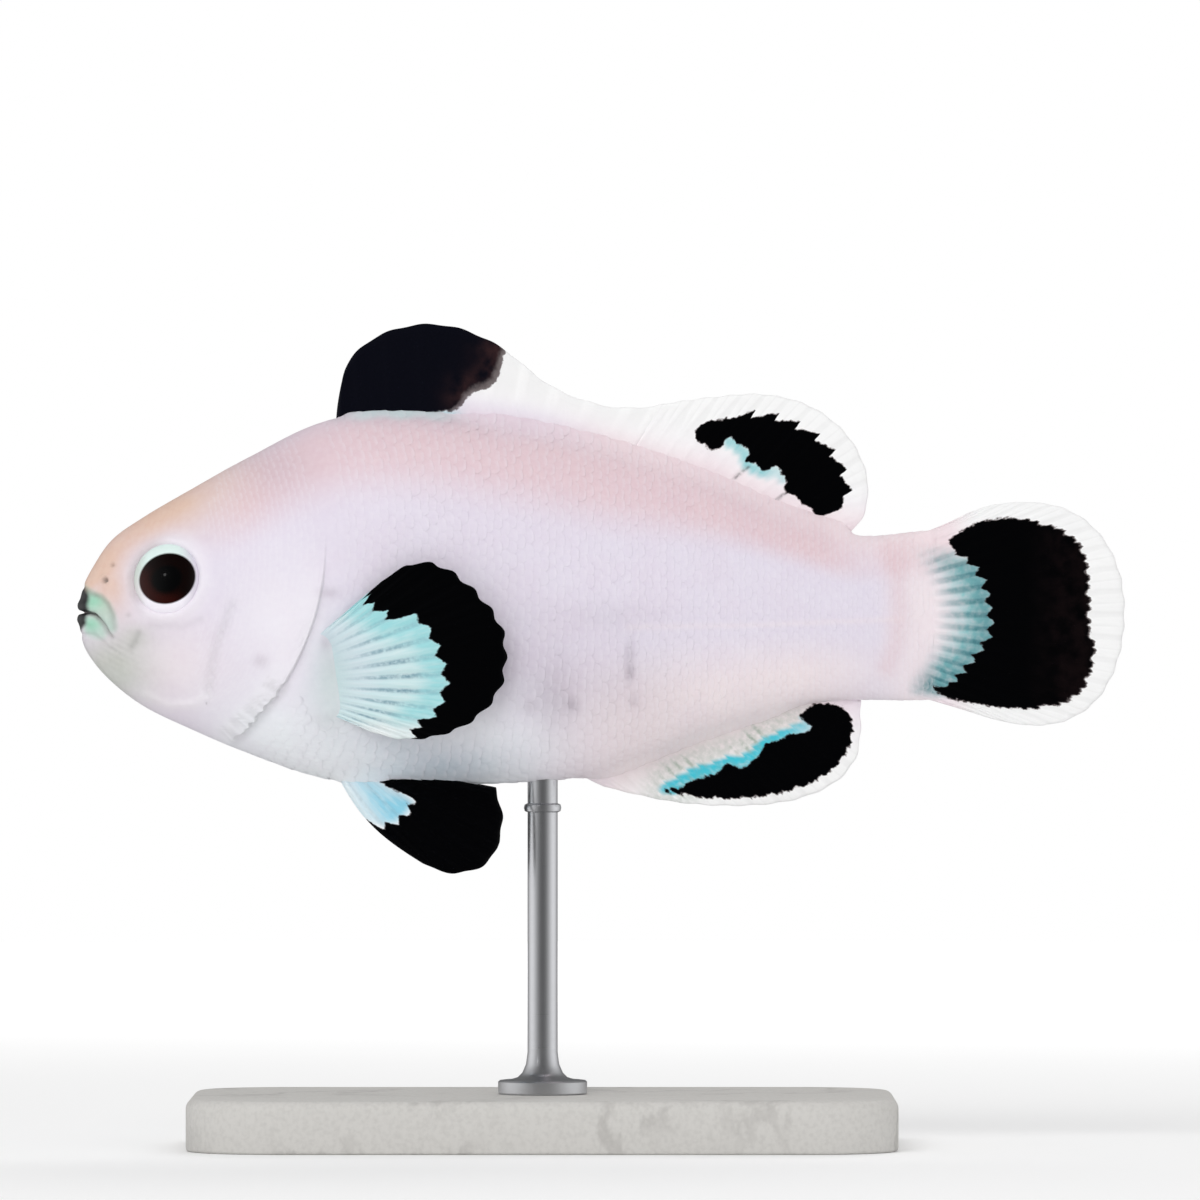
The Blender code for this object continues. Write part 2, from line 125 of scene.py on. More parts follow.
# Lines of the face in the side view.
GAPE = ((-1.0, -0.15), (0.7, -0.2), (1.3, -0.35), (1.7, -0.7), (2.1, -1.2), (2.4, -1.75), (2.7, -2.1))
LIP_FOLD = ((-1.0, 1.95), (0.2, 1.85), (1.0, 1.3), (1.8, 1.0), (2.3, 0.5), (2.75, -0.4), (2.95, -1.4))
CHIN_FOLD = ((-1.0, -1.95), (0.5, -1.9), (1.3, -2.0), (2.2, -2.6), (2.9, -3.3))
MAXILLA_FOLD = ((4.7, -1.8), (4.5, -2.4), (4.2, -2.8))
EYE_FOLD = ((5.7, -1.3), (8.1, -1.3), (9.5, -0.7))
CHEEK_GROOVE = ((11.9, 0.4), (11.3, -1.2), (10.8, -2.4), (10.5, -3.5), (10.3, -4.7), (10.1, -6.3))
CHEEK_RIM = ((9.8, -6.6), (8.9, -7.2), (7.0, -7.3), (5.3, -6.5))
LATERAL_LINE = ((42.0, -1.3), (50.4, -1.2), (62.9, -0.7))
TAIL_ROOT_LINE = ((61.9, 4.6), (62.6, 2.4), (62.75, 0.4), (62.5, -2.4), (61.8, -4.4))
FOLDS = (  # lines that stand out from the face or sink into it, with their height and width
    (LIP_FOLD, -0.10, 0.2), (CHIN_FOLD, -0.10, 0.2), (MAXILLA_FOLD, -0.08, 0.3), (EYE_FOLD, -0.05, 0.3),
    (CHEEK_GROOVE, -0.11, 0.32), (CHEEK_RIM, 0.07, 0.3),
)
UPPER_MINT = (
    (0.5, 1.8), (1.1, 1.4), (1.9, 1.0), (2.5, 0.35), (2.9, -0.6), (2.85, -1.6), (2.4, -1.6), (2.1, -1.15),
    (1.7, -0.65), (1.2, -0.3), (0.5, -0.15),
)
LOWER_MINT = (
    (0.5, -0.35), (1.2, -0.45), (1.7, -0.8), (2.05, -1.3), (2.2, -1.9), (1.8, -2.15), (1.1, -2.05),
    (0.5, -1.75),
)
LEFT_GREY_SPOTS = (  # grey spots on the flank: strength, place and size; weaker on the right side
    (0.42, (36.4, -6.7), (1.9, 2.6)), (0.5, (37.8, -7.2), (0.45, 0.55)), (0.35, (34.5, -7.4), (0.5, 0.45)),
    (0.75, (42.2, -4.8), (0.32, 0.55)), (0.45, (42.15, -3.4), (0.38, 1.2)), (0.4, (42.5, -6.9), (0.38, 0.6)),
    (0.4, (14.1, -3.9), (0.55, 0.45)), (0.2, (40.5, -0.5), (4.5, 1.2)), (0.3, (41.5, -6.4), (4.6, 3.4)),
)
# Painted shade at the gill opening's edge (the two spots near x 19), and darker spots on the flank behind the
# pectoral fin, on the nape and under the eye, alike on both sides.
SHADE_AND_GREY_SPOTS = (
    (0.2, (34.8, -3.8), (4.4, 3.6)), (0.26, (15.2, 10.8), (3.4, 2.4)), (0.4, (19.4, 1.3), (0.9, 0.45)),
    (0.4, (19.1, -2.4), (0.5, 0.6)), (0.12, (6.5, -1.8), (2.0, 1.0)),
)
# Dark dots of the crease shading: painted shade in the nostril, a pore and a spot beside them.
FACE_DOTS = ((0.85, NOSTRIL, (0.2, 0.2)), (0.35, PORE, (0.18, 0.18)), (0.25, (3.95, -0.4), (0.24, 0.18)))
SHADOWS = ((1.0, (28.0, -11.9), (4.8, 1.8)), (0.4, (23.8, -9.9), (4.0, 1.3)), (0.2, (19.1, -5.0), (1.6, 3.4)))

TAIL_RAYS = 20
TAIL_ROOT = ((60.9, 5.1), (62.4, -0.75), (62.5, -6.1))
TAIL_MARGIN = (
    (68.1, 7.45), (69.7, 8.0), (71.6, 8.25), (73.6, 8.2), (75.5, 7.75), (77.2, 6.75), (78.6, 5.2),
    (79.5, 3.3), (79.95, 1.2), (80.0, -0.9), (79.75, -2.95), (79.1, -4.95), (78.1, -6.65), (76.7, -7.9),
    (75.0, -8.65), (73.0, -8.85), (71.0, -8.6), (69.4, -8.2), (68.2, -7.8),
)
TAIL_BLACK = (
    (66.5, 5.3), (68.4, 6.5), (70.9, 7.0), (73.8, 6.5), (76.0, 5.5), (76.9, 4.0), (77.2, 1.2), (77.2, -1.3),
    (77.6, -3.0), (77.0, -5.5), (75.6, -6.9), (72.0, -7.5), (68.4, -7.1), (66.0, -6.5), (65.3, -5.9),
    (66.3, -5.9), (67.4, -4.9), (68.9, -3.1), (69.7, -1.6), (69.6, 0.4), (69.2, 2.1), (68.2, 3.6),
    (67.1, 4.4),
)

SCALES_FROM, SCALES_TO = 8.4, 65.8
SCALE_STEP = 0.56  # distance between columns of scales, as a share of a scale's width
SCALE_LENGTH, SCALE_BREADTH = 1.36, 1.22  # size of a scale, as shares of its width in the lattice
UNWRAP_MARGIN = 0.02
PATCH = 0.003  # side of a scale's place on the shared unwrap

# The post's outline: places from the rim of its flange, from its own side, and down from its top.
POST_RADIUS, POST_OVER = 1.15, 0.9
POST_FLANGE = (
    (-0.1, 0.0), (0.0, 0.12), (0.0, 0.95), (-0.12, 1.07), (-0.5, 1.12), (-0.62, 1.0), (-0.85, 1.0),
    (-1.0, 1.15),
)
POST_FOOT = ((0.75, 1.3), (0.4, 1.65), (0.12, 2.3), (0.0, 3.2))
POST_COLLAR = ((0.0, -2.9), (0.22, -2.8), (0.28, -2.55), (0.22, -2.3), (0.0, -2.2), (0.0, 0.0))

WORLD_LIGHT = 0.58  # strength of the even light from all round
SIDE_SHINE, SHINE = 1.1, 0.16  # what reflections see of the studio, at its sides and everywhere
VIEW_WIDTH, VIEW_HEIGHT, VIEW_SIDE = 91.7, 41.76, -0.115  # millimetres seen, and where the camera stands

Fin = namedtuple(
    "Fin", "rays root margin ray web notch bow forks cup sink fade columns rows",
    defaults=((0.0, 0.0), 1.0, 0.0, 0.0, (0.0, 0.16), 14, 48),
)


def colour_property(name, description, *default):
    """A colour setting, its default given as the eye reads it on a screen, from 0 to 255."""
    return bpy.props.FloatVectorProperty(
        name=name, description=description, subtype="COLOR", size=3, min=0.0, max=1.0,
        default=[float((part / 255.0) ** 2.2) for part in default],
    )


class ClownfishColours(bpy.types.PropertyGroup):
    flank: colour_property("Flank", "Lavender white of the sides", 221, 214, 228)
    back: colour_property("Back", "Pink band under the fins of the back", 221, 194, 200)
    forehead: colour_property("Forehead", "Peach of the snout and forehead", 220, 188, 170)
    # Also the colour of the painted highlight on the cheek's rim and of the painted sheen on the scales' free
    # edges.
    gill: colour_property("Gill cover", "Palest part of the gill cover", 237, 233, 241)
    belly: colour_property("Belly", "Cool white of the belly and breast", 236, 242, 245)
    vent: colour_property("Vent", "Warm pink above the anal fin", 243, 228, 227)
    chin: colour_property("Chin", "Green grey of the chin", 186, 192, 180)
    mint: colour_property("Lips", "Mint of the lips", 148, 207, 180)
    trim: colour_property("Fin roots", "Cyan white line under the spiny fin", 206, 232, 234)
    shadow: colour_property("Under the pectoral", "Blue grey below the pectoral fins", 140, 160, 174)
    lip: colour_property("Lip tips", "Black tips of the lips", 6, 10, 16)
    # Painted shade in the creases and hollows of the face and the gill cover.
    crease_shade: colour_property("Creases", "Folds of the face", 112, 118, 112)
    # Grey of the flank's spots, also used for the painted shade at the gill opening's edge.
    spot_and_shade_grey: colour_property("Smudges", "Grey smudges on the flank", 150, 140, 152)
    black: colour_property("Fin black", "Black of the fins", 2, 4, 9)
    worn_black: colour_property("Spiny fin black", "Duller black of the spiny dorsal fin", 15, 16, 25)
    rim: colour_property("Fin black's edge", "Brown edge of the black", 64, 43, 43)
    clear: colour_property("Fin white", "White edge of the fins", 241, 241, 241)
    pectoral: colour_property("Pectoral mint", "Mint of the pectoral fins", 156, 213, 217)
    pelvic: colour_property("Pelvic cyan", "Cyan at the front of the pelvic fins", 141, 203, 224)
    anal: colour_property("Anal cyan", "Cyan strip of the anal fin", 60, 194, 214)
    dorsal: colour_property("Dorsal cyan", "Cyan patch of the soft dorsal fin", 130, 198, 204)
    tail: colour_property("Tail teal", "Teal of the tail's rays next to the black", 130, 187, 190)
    tail_line: colour_property("Tail lines", "Green grey between the tail's rays", 72, 118, 125)
    pectoral_line: colour_property("Pectoral lines", "Blue grey between the rays", 118, 150, 166)
    anal_line: colour_property("Anal lines", "Grey green lines above the cyan strip", 150, 166, 152)
    dark_line: colour_property("Dashes", "Dark dashes in the soft dorsal fin", 84, 78, 82)
    pupil: colour_property("Eye black", "Black of the eye", 2, 4, 7)
    iris: colour_property("Eye brown", "Brown red of the iris", 46, 16, 12)
    eye_ring: colour_property("Eye ring", "Pale ring of the eye", 222, 240, 236)
    stone: colour_property("Stone", "Honed stone of the base", 206, 204, 200)
    vein: colour_property("Veins", "Veins in the stone", 166, 163, 160)
    steel: colour_property("Steel", "Brushed steel of the post", 196, 197, 200)


class ClownfishSizes(bpy.types.PropertyGroup):
    coat: bpy.props.FloatProperty(
        name="Coat", description="How far the skin lies inside the solids", unit="LENGTH",
        default=0.1 * MM, min=0.0,
    )
    scale: bpy.props.FloatProperty(
        name="Scale width", description="Width of a scale at the middle of the body", unit="LENGTH",
        default=1.1 * MM, min=0.3 * MM,
    )
    lift: bpy.props.FloatProperty(
        name="Scale lift", description="Height of a scale's free edge over the skin", unit="LENGTH",
        default=0.05 * MM, min=0.0,
    )
    floor: bpy.props.FloatProperty(
        name="Floor", description="Radius of the floor", unit="LENGTH", default=0.6, min=0.1
    )
    distance: bpy.props.FloatProperty(
        name="Camera distance", description="From the camera to the fish", unit="LENGTH",
        default=1.0, min=0.2,
    )


# ---------------------------------------------------------------- curves and masks

def smooth_curve(knots, values, at):
    """Rows of values on the smooth curve through the knots, each slope taken from a knot's neighbours."""
    knots, values, at = np.asarray(knots, float), np.asarray(values, float), np.asarray(at, float)
    last = len(knots) - 1
    before, after = np.maximum(np.arange(last + 1) - 1, 0), np.minimum(np.arange(last + 1) + 1, last)
    slopes = (values[after] - values[before]) / (knots[after] - knots[before])[:, None]
    i = np.clip(np.searchsorted(knots, at, side="right") - 1, 0, last - 1)
    span = (knots[i + 1] - knots[i])[..., None]
    t = (at - knots[i])[..., None] / span
    return (
        values[i] * (1 + 2 * t) * (1 - t) ** 2
        + slopes[i] * span * t * (1 - t) ** 2
        + values[i + 1] * t * t * (3 - 2 * t)
        + slopes[i + 1] * span * t * t * (t - 1)
    )


def along_path(points, share):
    """Points at shares from 0 to 1 of the smooth line through the given points."""
    points = np.asarray(points, float)
    lengths = np.concatenate(([0.0], np.cumsum(np.linalg.norm(np.diff(points, axis=0), axis=1))))
    return smooth_curve(lengths, points, np.asarray(share) * lengths[-1])


def bell(distance, width):
    """1 at no distance, and softly down to 0 beyond the width."""
    return np.exp(-((distance / width) ** 2))


def rise(value, low, high):
    """0 below the first bound, 1 above the second and smooth between them."""
    t = np.clip((value - low) / (high - low), 0.0, 1.0)
    return t * t * (3 - 2 * t)


def fall(value, low, high):
    return 1 - rise(value, low, high)


def window(value, low, high, edge):
    """0 outside the two bounds and 1 between them, with soft edges."""
    return rise(value, low - edge, low + edge) * fall(value, high - edge, high + edge)


def spot(x, z, centre, size):
    """1 at the centre of a soft oval spot of the side view, and softly down to 0 outside it."""
    return np.exp(-(((x - centre[0]) / size[0]) ** 2) - ((z - centre[1]) / size[1]) ** 2)


def spots(x, z, places):
    return sum(strength * spot(x, z, centre, size) for strength, centre, size in places)


def line_distance(x, z, points):
    """Distance in the side view from each place to a broken line."""
    nearest = np.full(np.shape(x), 1e9)
    for (ax, az), (bx, bz) in zip(points, points[1:]):
        dx, dz = bx - ax, bz - az
        t = np.clip(((x - ax) * dx + (z - az) * dz) / (dx * dx + dz * dz), 0, 1)
        nearest = np.minimum(nearest, np.hypot(x - ax - t * dx, z - az - t * dz))
    return nearest


def stroke(x, z, line, width):
    """1 on a broken line of the side view, and softly down to 0 beside it."""
    return bell(line_distance(x, z, line), width)


def inside_distance(x, z, outline, steps=6):
    """Distance to a smooth closed outline of the side view, positive inside it."""
    closed = [*outline, outline[0]]
    smooth = along_path(closed, np.linspace(0, 1, steps * len(outline) + 1))
    inside = np.zeros(np.shape(x), bool)
    for (ax, az), (bx, bz) in zip(smooth, smooth[1:]):
        crosses = (az > z) != (bz > z)
        rise_of = bz - az if bz != az else 1e-9
        inside ^= crosses & (x < ax + (z - az) * (bx - ax) / rise_of)
    return np.where(inside, 1.0, -1.0) * line_distance(x, z, smooth)


# ---------------------------------------------------------------- form of the body

def body_at(x):
    """Height of the back, height of the belly and half width at distances from the snout."""
    reach = np.clip(x, 0.0, BODY[-1, 0])
    back, belly, half = np.moveaxis(smooth_curve(np.sqrt(BODY[:, 0]), BODY[:, 1:], np.sqrt(reach)), -1, 0)
    thin = rise(x, *TAIL_THINS)
    return back - 0.3 * thin, belly + 0.3 * thin, half + (TAIL_END_HALF - half) * thin


@once
def around_table():
    """Angles round a cross-section and the share of the way from the belly to the back they lie at."""
    angles = np.linspace(-math.pi / 2, math.pi / 2, 721)
    y, z = section(angles, 1.0, -1.0, 0.48)
    lengths = np.concatenate(([0.0], np.cumsum(np.hypot(np.diff(y), np.diff(z)))))
    return angles, lengths / lengths[-1]


def section(angles, back, belly, half):
    """(y, z) on the right half of a cross-section, angle 0 being the flank and a quarter turn the back."""
    power = np.where(np.sin(angles) > 0, 2 / BACK_FULLNESS, 2 / BELLY_FULLNESS)
    level, reach = (back + belly) / 2, (back - belly) / 2
    y = np.abs(np.cos(angles)) ** power * half
    return y, level + np.sign(np.sin(angles)) * np.abs(np.sin(angles)) ** power * reach


def body_place(x, share):
    """(y, z) on the right side at distances from the snout and shares of the way from belly to back."""
    angles, shares = around_table()
    return section(np.interp(share, shares, angles), *body_at(x))


def flank(x, z):
    """Half width of the body at a point of the side view."""
    back, belly, half = body_at(np.asarray(x, float))
    level, reach = (back + belly) / 2, (back - belly) / 2
    power = np.where(z > level, BACK_FULLNESS, BELLY_FULLNESS)
    return half * (1 - np.minimum(np.abs(z - level) / reach, 1.0) ** power) ** (1 / power)


def round_gill(x, z):
    """The angle in degrees round the gill opening's centre, and the distance outside its arc."""
    dx, dz = x - GILL_CENTRE[0], z - GILL_CENTRE[1]
    return np.degrees(np.arctan2(dz, dx)), np.hypot(dx, dz) - GILL_RADIUS


def spine_count(turn):
    """Counts the blunt spines along the lower gill edge, unevenly spaced, by their angle."""
    return turn / 2.3 + 0.24 * np.sin(1.1 * turn) + 0.15 * np.sin(2.6 * turn + 1.0)


def gill_edge(share):
    """Distance from the snout at which each column of the skin meets the gill opening."""
    low, high = np.full(np.shape(share), 7.0), np.full(np.shape(share), 20.5)
    for _ in range(28):
        x = (low + high) / 2
        turn, outside = round_gill(x, body_place(x, share)[1])
        spiny = window(turn, *GILL_SPINES, 3.0)
        within = outside < 0.36 * spiny * (np.abs(spine_count(turn) % 1.0 - 0.5) * 2 - 0.6)
        low, high = np.where(within, x, low), np.where(within, high, x)
    return (low + high) / 2


def ring_stations():
    """Where the skin's rings lie: close together on the snout and at the gill opening."""
    snout = SNOUT_END * (np.arange(1, SNOUT_RINGS + 1) / SNOUT_RINGS) ** 2
    head = np.linspace(SNOUT_END, GILL_STATION, HEAD_RINGS + 1)[1:]
    t = np.linspace(0, 1, BODY_RINGS)
    start = GILL_STATION + 0.05
    return np.concatenate((snout, head, start + (SKIN_END - start) * (0.55 * t + 0.45 * t * t)))


def grid_normals(places):
    """Outward directions of a closed tube of rings of points."""
    along = np.gradient(places, axis=0)
    around = np.roll(places, -1, axis=1) - np.roll(places, 1, axis=1)
    normals = np.cross(around, along)
    normals /= np.maximum(np.linalg.norm(normals, axis=2, keepdims=True), 1e-12)
    middle = places.mean(axis=1, keepdims=True)
    facing = np.sign(np.sum((places - middle) * normals, axis=(1, 2)))
    return normals * np.where(facing == 0, 1, facing)[:, None, None]


def eye_frame():
    """Centre of the right eyeball and its three directions, outward last."""
    x, z = EYE_AT
    step = 0.2
    here = float(flank(x, z))
    along = Vector((2 * step, float(flank(x + step, z) - flank(x - step, z)), 0))
    up = Vector((0, float(flank(x, z + step) - flank(x, z - step)), 2 * step))
    out = -along.cross(up).normalized()
    out = Vector((out.x, abs(out.y), out.z))
    across = (Vector((1, 0, 0)) - out * out.x).normalized()
    centre = Vector((x, here, z)) - out * EYE_SUNK
    return centre, across, out.cross(across), out


def eye_distance(x, y, z):
    """Distance of places from the eye's own axis."""
    centre, _, _, out = eye_frame()
    offset = np.stack((x - centre.x, np.abs(y) - centre.y, z - centre.z), axis=-1)
    depth = offset @ np.array(out)
    away = np.linalg.norm(offset - depth[..., None] * np.array(out), axis=-1)
    return np.where(depth > -4.0, away, 99.0)


def eye_relief(away):
    """Height of the skin round the eye: a socket under the ball, a lid-like rim and a groove."""
    socket = -1.5 * fall(away, 1.6, 2.85)
    rim = 0.12 * bell(away - 3.0, 0.34)
    return socket + rim - 0.025 * bell(away - 3.7, 0.35) - 0.02


def skin_relief(x, y, z, behind):
    """Height of the skin over the plain body. `behind` is the distance behind the gill opening."""
    away = eye_distance(x, y, z)
    height = np.where(away < 4.6, eye_relief(away) * fall(away, 3.6, 4.6), 0.0)

    turn, _ = round_gill(x, z)
    opening = rise(turn, -52.5, -47.0) * fall(turn, *GILL_FADES)
    cover = 0.15 * np.exp(-np.maximum(-behind, 0.0) / 1.8)
    slit = -0.12 * np.exp(-np.maximum(behind, 0.0) / 0.6)
    height += opening * np.where(behind <= 1e-6, cover, slit)

    mouth = fall(x, 2.3, 3.2)
    gape = line_distance(x, z, GAPE)
    height += mouth * (0.17 * bell(gape - 0.55, 0.38) - (0.55 - 0.3 * rise(x, 1.0, 2.0)) * bell(gape, 0.12))
    for line, high, wide in FOLDS:
        height += high * bell(line_distance(x, z, line), wide)
    height -= spots(x, z, ((0.4, NOSTRIL, (0.17, 0.17)), (0.25, PORE, (0.13, 0.13))))
    height += 0.08 * bell(np.hypot(x - NOSTRIL[0], z - NOSTRIL[1]) - 0.36, 0.12)
    return height + 0.62 * stroke(x, z, SHOULDER, 1.25) * rise(behind, -0.6, 1.0)


def keel(x, y, z):
    """How far the skin rises into the fins of the back and the belly, along Z."""
    back = window(x, 20.2, 58.9, 0.6)
    belly = window(x, 39.2, 54.0, 1.5)
    ridge = bell(y, 0.8) * (0.35 + 0.55 * rise(x, 28.0, 33.0))
    hip = 0.45 * bell(np.abs(y) - 1.5, 0.7) * window(x, 20.0, 23.6, 0.8)
    return np.where(z > 0, ridge * back, -ridge * 0.6 * belly - hip)


SkinForm = namedtuple("SkinForm", "places normals stations half_round marks")


@once
def skin_form():
    """The skin as rings of places and directions in fish millimetres, with its markings and its painted shade
    and highlight.
    """
    coat = bpy.context.scene.clownfish_sizes.coat / MM
    stations = ring_stations()
    column = np.arange(COLUMNS) / COLUMNS
    share = 1 - np.abs(1 - 2 * column)
    side = np.where(column < 0.5, 1.0, -1.0)
    meets = gill_edge(share)
    s = stations[:, None]
    lean = np.clip(2 * fall(s, 2 * GILL_STATION - WARP_END, WARP_END), 0.0, 1.0)
    x = np.where(s <= GILL_STATION, s * meets / GILL_STATION, s + (meets - GILL_STATION) * lean)
    y, z = body_place(x, np.broadcast_to(share, x.shape))
    plain = np.stack((x, y * side, z), axis=-1)
    half_round = np.linalg.norm(np.diff(plain[:, : COLUMNS // 2 + 1], axis=1), axis=2).sum(axis=1)
    behind = np.broadcast_to(s - GILL_STATION, x.shape)
    height = skin_relief(x, plain[..., 1], z, behind) - coat
    places = plain + grid_normals(plain) * height[..., None]
    places[..., 2] += keel(x, plain[..., 1], z)
    return SkinForm(places, grid_normals(places), stations, half_round, skin_marks(x, plain[..., 1], z))


def comb_zone(x, z):
    """Where the green comb of the tail's rays may show, on the skin and on the tail fin alike."""
    return fall(x, 70.5, 71.5) * fall(z, 3.2, 5.2) * rise(z, -7.0, -5.8)


def tail_ray(x, z):
    """Which of the tail fin's rays passes through a place of the side view, counted from the top."""
    low, high = np.zeros(np.shape(x)), np.ones(np.shape(x))
    for _ in range(16):
        middle = (low + high) / 2
        start, end = along_path(TAIL_ROOT, middle), along_path(TAIL_MARGIN, middle)
        share = (x - start[:, 0]) / (end[:, 0] - start[:, 0])
        above = start[:, 1] + share * (end[:, 1] - start[:, 1]) > z
        low, high = np.where(above, middle, low), np.where(above, high, middle)
    return (low + high) / 2 * (TAIL_RAYS - 1)


def tail_comb(x, z):
    """Strength of the comb's green and of its dark lines between the tail's rays."""
    glow, line = np.zeros(np.shape(x)), np.zeros(np.shape(x))
    here = np.asarray(x) > 63.5
    x, z = x[here], z[here]
    past = x - 66.0 + 0.08 * (z + 0.5) ** 2
    near = rise(inside_distance(x, z, TAIL_BLACK), -2.2, -0.3)
    patch = spot(x, z, (66.5, -4.8), (1.2, 1.3))
    gaps = rise(-teeth(tail_ray(x, z)), -0.28, 0.3) * rise(past, -0.8, 1.4) * (0.6 + 0.35 * near)
    glow[here] = comb_zone(x, z) * np.clip(rise(past, -0.8, 3.0) + 0.55 * patch, 0, 1)
    line[here] = comb_zone(x, z) * np.maximum(np.maximum(gaps, 0.6 * near), 0.6 * patch)
    return glow, line


def crease_shade_marks(x, z, away, front):
    """Dark lines of the face and the gill cover, painted shade in its hollows: the mouth's slit, the folds,
    the nostrils, the eye's rim, the gill opening and the gaps between the gill spines; and a hatching of fine
    dark lines on the chin.
    """
    turn, to_gill = round_gill(x, z)
    spines, spikes, comb = gill_spikes(turn, to_gill)
    hatching = 0.5 + 0.5 * np.cos(2 * math.pi * (0.55 * x + z) / 0.5)
    gill_line = bell(to_gill - 0.2, 0.3) * rise(turn, -40.0, -30.0) * fall(turn, -16.0, -2.0)
    return (
        (0.75 - 0.35 * rise(x, 1.0, 2.2)) * stroke(x, z, GAPE, 0.16) * fall(x, 2.4, 3.2)
        + 0.5 * stroke(x, z, LIP_FOLD, 0.2) * fall(x, 2.4, 3.4)
        + 0.3 * stroke(x, z, MAXILLA_FOLD, 0.28)
        + 0.12 * stroke(x, z, EYE_FOLD, 0.3)
        + 0.16 * stroke(x, z, CHEEK_GROOVE, 0.4)
        + 0.14 * hatching * spot(x, z, (3.2, -3.2), (1.4, 1.3))
        + spots(x, z, FACE_DOTS)
        + 0.26 * bell(away - 2.85, 0.28) * front
        + 0.22 * spines * bell(to_gill - 0.3, 0.3) + 0.2 * spikes * (1 - comb)
        + 0.13 * (1 - spines) * gill_line
    )


def gill_spikes(turn, to_gill):
    """Where the gill edge is spiny, how far its spikes reach over the cover, and the spikes themselves."""
    spines = window(turn, -52.0, -33.0, 2.0)
    comb = 0.5 + 0.5 * np.cos(math.pi * 2 * (spine_count(turn) - 0.25 * to_gill))
    return spines, window(to_gill, -1.3, 0.1, 0.3) * spines, comb


def back_pink(x, z, below):
    """The pink band under the fins of the back, narrower towards the tail."""
    rear = rise(x, 38.0, 57.0)
    pink = rise(x, 8.0, 14.0) * rise(below, -1.8, 1.8) * fall(below, 3.2 - 1.0 * rear, 7.6 - 3.4 * rear)
    pink = pink * (1 - 0.55 * rise(x, 56.5, 60.5)) * (1 + 0.6 * bell(x - 63.2, 0.8))
    return pink * (1 - 0.25 * spot(x, z, (24.0, 8.0), (6.0, 3.0)))


def skin_marks(x, y, z):
    """Strength of each mark painted on the skin at places of the body or of a fin's flesh: its markings, and
    painted shade and highlight.
    """
    back, belly, _ = body_at(x)
    below = back - z
    down = below / np.maximum(back - belly, 1.0)
    away = eye_distance(x, y, z)
    turn, to_gill = round_gill(x, z)
    _, spikes, comb = gill_spikes(turn, to_gill)
    gill_band = rise(to_gill, -2.6, -0.4) * fall(to_gill, 0.0, 0.15) * fall(turn, *GILL_FADES)
    front = rise(0.95 * (EYE_AT[0] - x) + 0.3 * (z - EYE_AT[1]), 0.3, 2.0)
    forehead = fall(x, 6.5, 16.0) * fall(down, 0.03, 0.30)
    snout = 0.9 * spot(x, z, (2.4, 1.9), (2.2, 2.4))
    lips = np.maximum(inside_distance(x, z, UPPER_MINT), inside_distance(x, z, LOWER_MINT))
    bright = 0.5 + 0.5 * np.maximum(spot(x, z, (1.2, 0.7), (0.9, 0.8)), spot(x, z, (1.1, -1.1), (0.7, 0.6)))
    comb_glow, comb_line = tail_comb(x, z)
    marks = {
        "peach": np.clip(forehead + snout, 0, 1) * (1 - (0.75 - 0.35 * front) * bell(away - 2.9, 0.9)),
        "blush": back_pink(x, z, below) + 0.5 * stroke(x, z, TAIL_ROOT_LINE, 0.8),
        "pale": spot(x, z, (15.4, -1.0), (3.4, 4.6)) + 0.8 * bell(away - 2.9, 0.75) * (1 - 0.6 * front)
        # painted highlight along the cheek's raised rim
        + 0.8 * stroke(x, z, CHEEK_RIM, 0.45) + 0.5 * gill_band + 0.8 * spikes * comb,
        "cool": rise(down, 0.62, 0.93) * window(x, 11.0, 36.0, 5.0),
        "warm": window(x, 38.0, 60.0, 5.0) * rise(down, 0.58, 0.84) + 0.35 * stroke(x, z, LATERAL_LINE, 0.2)
        + 0.85 * rise(x, 60.5, 64.5) + 0.6 * spot(x, z, (7.2, -4.2), (4.2, 3.6))
        + 0.9 * window(-below, -1.4, 2.6, 1.4) * rise(x, 34.0, 42.0),
        "chin": spots(x, z, ((1.1, (2.6, -4.6), (3.3, 2.9)), (0.45, (4.6, -2.0), (1.2, 0.9))))
        + 0.3 * window(belly - z, 0.0, 2.4, 0.9) * window(x, 43.0, 56.0, 3.0),
        "white": 0.85 * fall(x, 59.5, 62.0) * np.maximum(
            rise(-below - 0.7 * rise(x, 44.0, 49.0), -0.2, 2.6) * rise(x, 27.0, 30.0),
            0.8 * rise(belly - z, 0.3, 3.0) * rise(x, 39.0, 43.0),
        ),
        "trim": 0.75 * window(x, 20.8, 28.2, 2.2) * window(below, -1.5, 0.34 + 0.1 * np.sin(2.1 * x), 0.3),
        "shadow": spots(x, z, SHADOWS),
        "mint": np.maximum(rise(lips, -0.4, 0.3) * bright, 0.3 * spot(x, z, (19.7, -5.0), (1.8, 3.6))),
        "tip": fall(x, 0.6, 1.1) * rise(z, -0.25, 0.0) * fall(z + 0.22 * y * y, 1.6, 2.05)
        + fall(x, 0.5, 0.95) * fall(z, -0.35, -0.1) * rise(z - 0.2 * y * y, -1.9, -1.5),
        # painted shade in the creases and hollows of the face and the gill cover
        "fold": crease_shade_marks(x, z, away, front),
        # grey spots, and painted shade at the gill opening's edge
        "smudge": np.where(y < 0, 1.0, 0.35) * spots(x, z, LEFT_GREY_SPOTS) + spots(x, z, SHADE_AND_GREY_SPOTS),
        "comb": comb_glow,
        "comb_line": comb_line,
    }
    return {name: np.clip(values, 0, 1) for name, values in marks.items()}


def in_world(points):
    """Places given in fish millimetres, in the metres of the frame."""
    return np.asarray(points) * MM + np.array((SNOUT, 0.0, AXIS))


# ---------------------------------------------------------------- meshes

